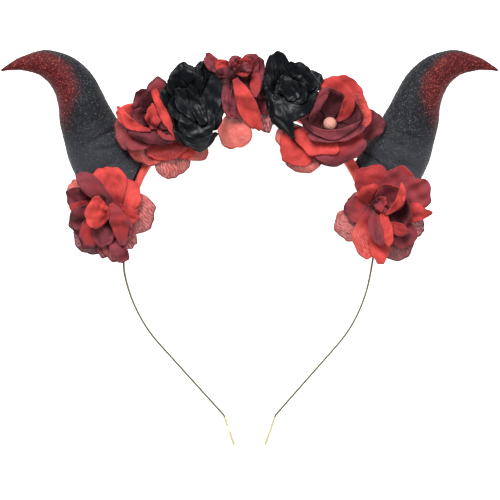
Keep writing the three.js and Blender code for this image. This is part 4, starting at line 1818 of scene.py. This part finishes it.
    def add_petal(self, shell: Shell, petal: Petal, index: int) -> np.ndarray:
        """Adds one petal with its wall to a shell.

        Args:
            shell: the shell that it joins.
            petal: the petal.
            index: its number in the rose.

        Returns:
            The petal's middle surface, as rows of points.
        """
        middle = self.sheet(petal, index)
        normal = np.cross(np.gradient(middle, axis=1), np.gradient(middle, axis=0))
        normal /= np.maximum(np.linalg.norm(normal, axis=-1, keepdims=True), 1e-12)
        sides = [middle - normal * self.wall / 2, middle + normal * self.wall / 2]
        s = np.linspace(0.0, 1.0, self.rows)[:, None] * np.ones((1, self.columns))
        u = np.linspace(-1.0, 1.0, self.columns)[None, :] * np.ones((self.rows, 1))
        edge = np.maximum(s, np.abs(u) ** self.rim_power * smooth(*self.rim_span, s))
        grain = math.radians(petal.grain)
        long = np.linalg.norm(np.diff(middle[:, self.columns // 2], axis=0), axis=-1).sum()
        x, y = u * petal.wide * MM / 2 + index * self.map_step, s * long
        turned = [x * math.cos(grain) + y * math.sin(grain), y * math.cos(grain) - x * math.sin(grain)]
        maps = np.stack(turned, axis=-1)
        tone = petal.tone + (petal.tip_tone - petal.tone) * smooth(*self.tone_span, s)
        # Painted shade: darker towards the petal's root, where the rose's depths lie in shade.
        darker = self.painted_root_shade * (1.0 - smooth(*self.root_shade_span, s))
        tone = tone + darker + petal.lip * smooth(*self.lip_span, edge)
        outer = petal.part is Part.OUTER
        strength = petal.streak if petal.streak is not None else float(outer)
        streak = strength * (np.ones_like(s) if outer else smooth(*self.streak_span, s))
        shell.add(
            self.hoop.to_row(np.concatenate(sides)), self.petal_faces(), np.concatenate([maps, maps]),
            rim=np.concatenate([edge, edge]), tone=np.concatenate([tone, tone]),
            inside=np.concatenate([np.ones_like(s), np.zeros_like(s)]),
            streak=np.concatenate([streak, streak]),
        )
        return middle

    def build(self) -> None:
        """The rose's petals, part by part."""
        shells: dict[Part, Shell] = {}
        cuts: dict[Part, ClothCut] = {}
        for index, petal in enumerate(self.plan.petals):
            middle = self.add_petal(shells.setdefault(petal.part, Shell()), petal, index)
            cuts.setdefault(petal.part, ClothCut()).add(middle)
        for part, shell in shells.items():
            cloth = self.cloth(part)
            node = f"{self.plan.name}_{part.value}"
            thing = shell.to_object(f"cloth_{node}", cloth.value.material())
            keep(thing, CLOTH_SLOTS[cloth], node)
            cuts[part].declare(thing, f"{self.plan.name}_core")


# Studio

@dataclass(frozen=True)
class Lamp:
    """A square soft light: its name, its place, the length of its side and its power in watts."""

    name: str
    place: tuple[float, float, float]
    side: float
    power: float


@dataclass
class Studio:
    """The camera, the floor and the lights."""

    hoop: HoopFrame
    sensor: float = 36.0
    floor_half: float = 6.0
    daylight: float = 0.3
    lamps: tuple[Lamp, ...] = (
        Lamp("key", (-0.25, 0.65, 0.9), 0.5, 19.0),
        Lamp("fill", (0.7, 0.0, 0.9), 0.6, 6.0),
    )

    def build(self) -> None:
        """Sets up all of it."""
        self.add_camera()
        self.add_floor()
        for lamp in self.lamps:
            self.add_light(lamp)
        world = bpy.data.worlds.new("soft daylight")
        world.use_nodes = True
        background = world.node_tree.nodes["Background"]
        background.inputs["Color"].default_value = (1.0, 1.0, 1.0, 1.0)
        background.inputs["Strength"].default_value = self.daylight
        bpy.context.scene.world = world
        bpy.context.scene.view_settings.view_transform = "Standard"

    def add_camera(self) -> None:
        """A long lens that looks square on to the hoop, with the photograph's framing."""
        field_wide = PHOTO_SIDE_PX * MM_PER_PX * MM
        data = bpy.data.cameras.new("camera")
        data.sensor_width = self.sensor
        data.lens = self.sensor * CAMERA_AWAY / field_wide
        camera = put_in_scene("camera", data)
        middle = PHOTO_SIDE_PX / 2
        aim = Vector((
            (middle - HOOP_CENTRE_PX[0]) * MM_PER_PX * MM,
            (HOOP_CENTRE_PX[1] - middle) * MM_PER_PX * MM,
            CAMERA_AWAY,
        ))
        camera.matrix_world = self.hoop.matrix() @ Matrix.Translation(aim)
        bpy.context.scene.camera = camera

    def add_floor(self) -> None:
        """A wide pale floor."""
        half = self.floor_half
        corners = [(-half, -half, 0), (half, -half, 0), (half, half, 0), (-half, half, 0)]
        mesh = bpy.data.meshes.new("floor")
        mesh.from_pydata(corners, [], [(0, 1, 2, 3)])
        mesh.materials.append(FLOOR.material())
        put_in_scene("floor", mesh)

    def add_light(self, lamp: Lamp) -> None:
        """A light that looks at the headband.

        Args:
            lamp: what it is like.
        """
        data = bpy.data.lights.new(lamp.name, "AREA")
        data.size = lamp.side
        data.energy = lamp.power
        light = put_in_scene(lamp.name, data)
        light.location = lamp.place
        light.rotation_euler = (-Vector(lamp.place)).to_track_quat("-Z", "Y").to_euler()


def dress_cores(nodes: dict[str, Piece]) -> None:
    """Gives the plain cores under the roses their plastic, and the bead its gloss.

    Args:
        nodes: the solids, by name.
    """
    finishes = {"_core": CORE, "_bead": BEAD}
    for name, thing in nodes.items():
        for ending, finish in finishes.items():
            if name.endswith(ending):
                thing.data.materials.clear()
                thing.data.materials.append(finish.material())


def main() -> None:
    """Builds every piece in order."""
    logging.basicConfig(level=logging.INFO, format="%(message)s")
    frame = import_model()
    hoop = HoopFrame(frame["record"])
    Studio(hoop).build()
    horns = [Horn(hoop, 1), Horn(hoop, -1)]
    for horn in horns:
        horn.build()
    band = Band(hoop)
    band.build_steel()
    band.build_felt()
    band.build_cap(1)
    band.build_cap(-1)
    cover = Cover()
    cover.add(band.felt_face())
    for horn in horns:
        cover.add(horn.surface()[0])
    for plan in PLANS:
        Rose(hoop, plan, cover).build()
    dress_cores(frame["nodes"])


if __name__ == "__main__":
    main()
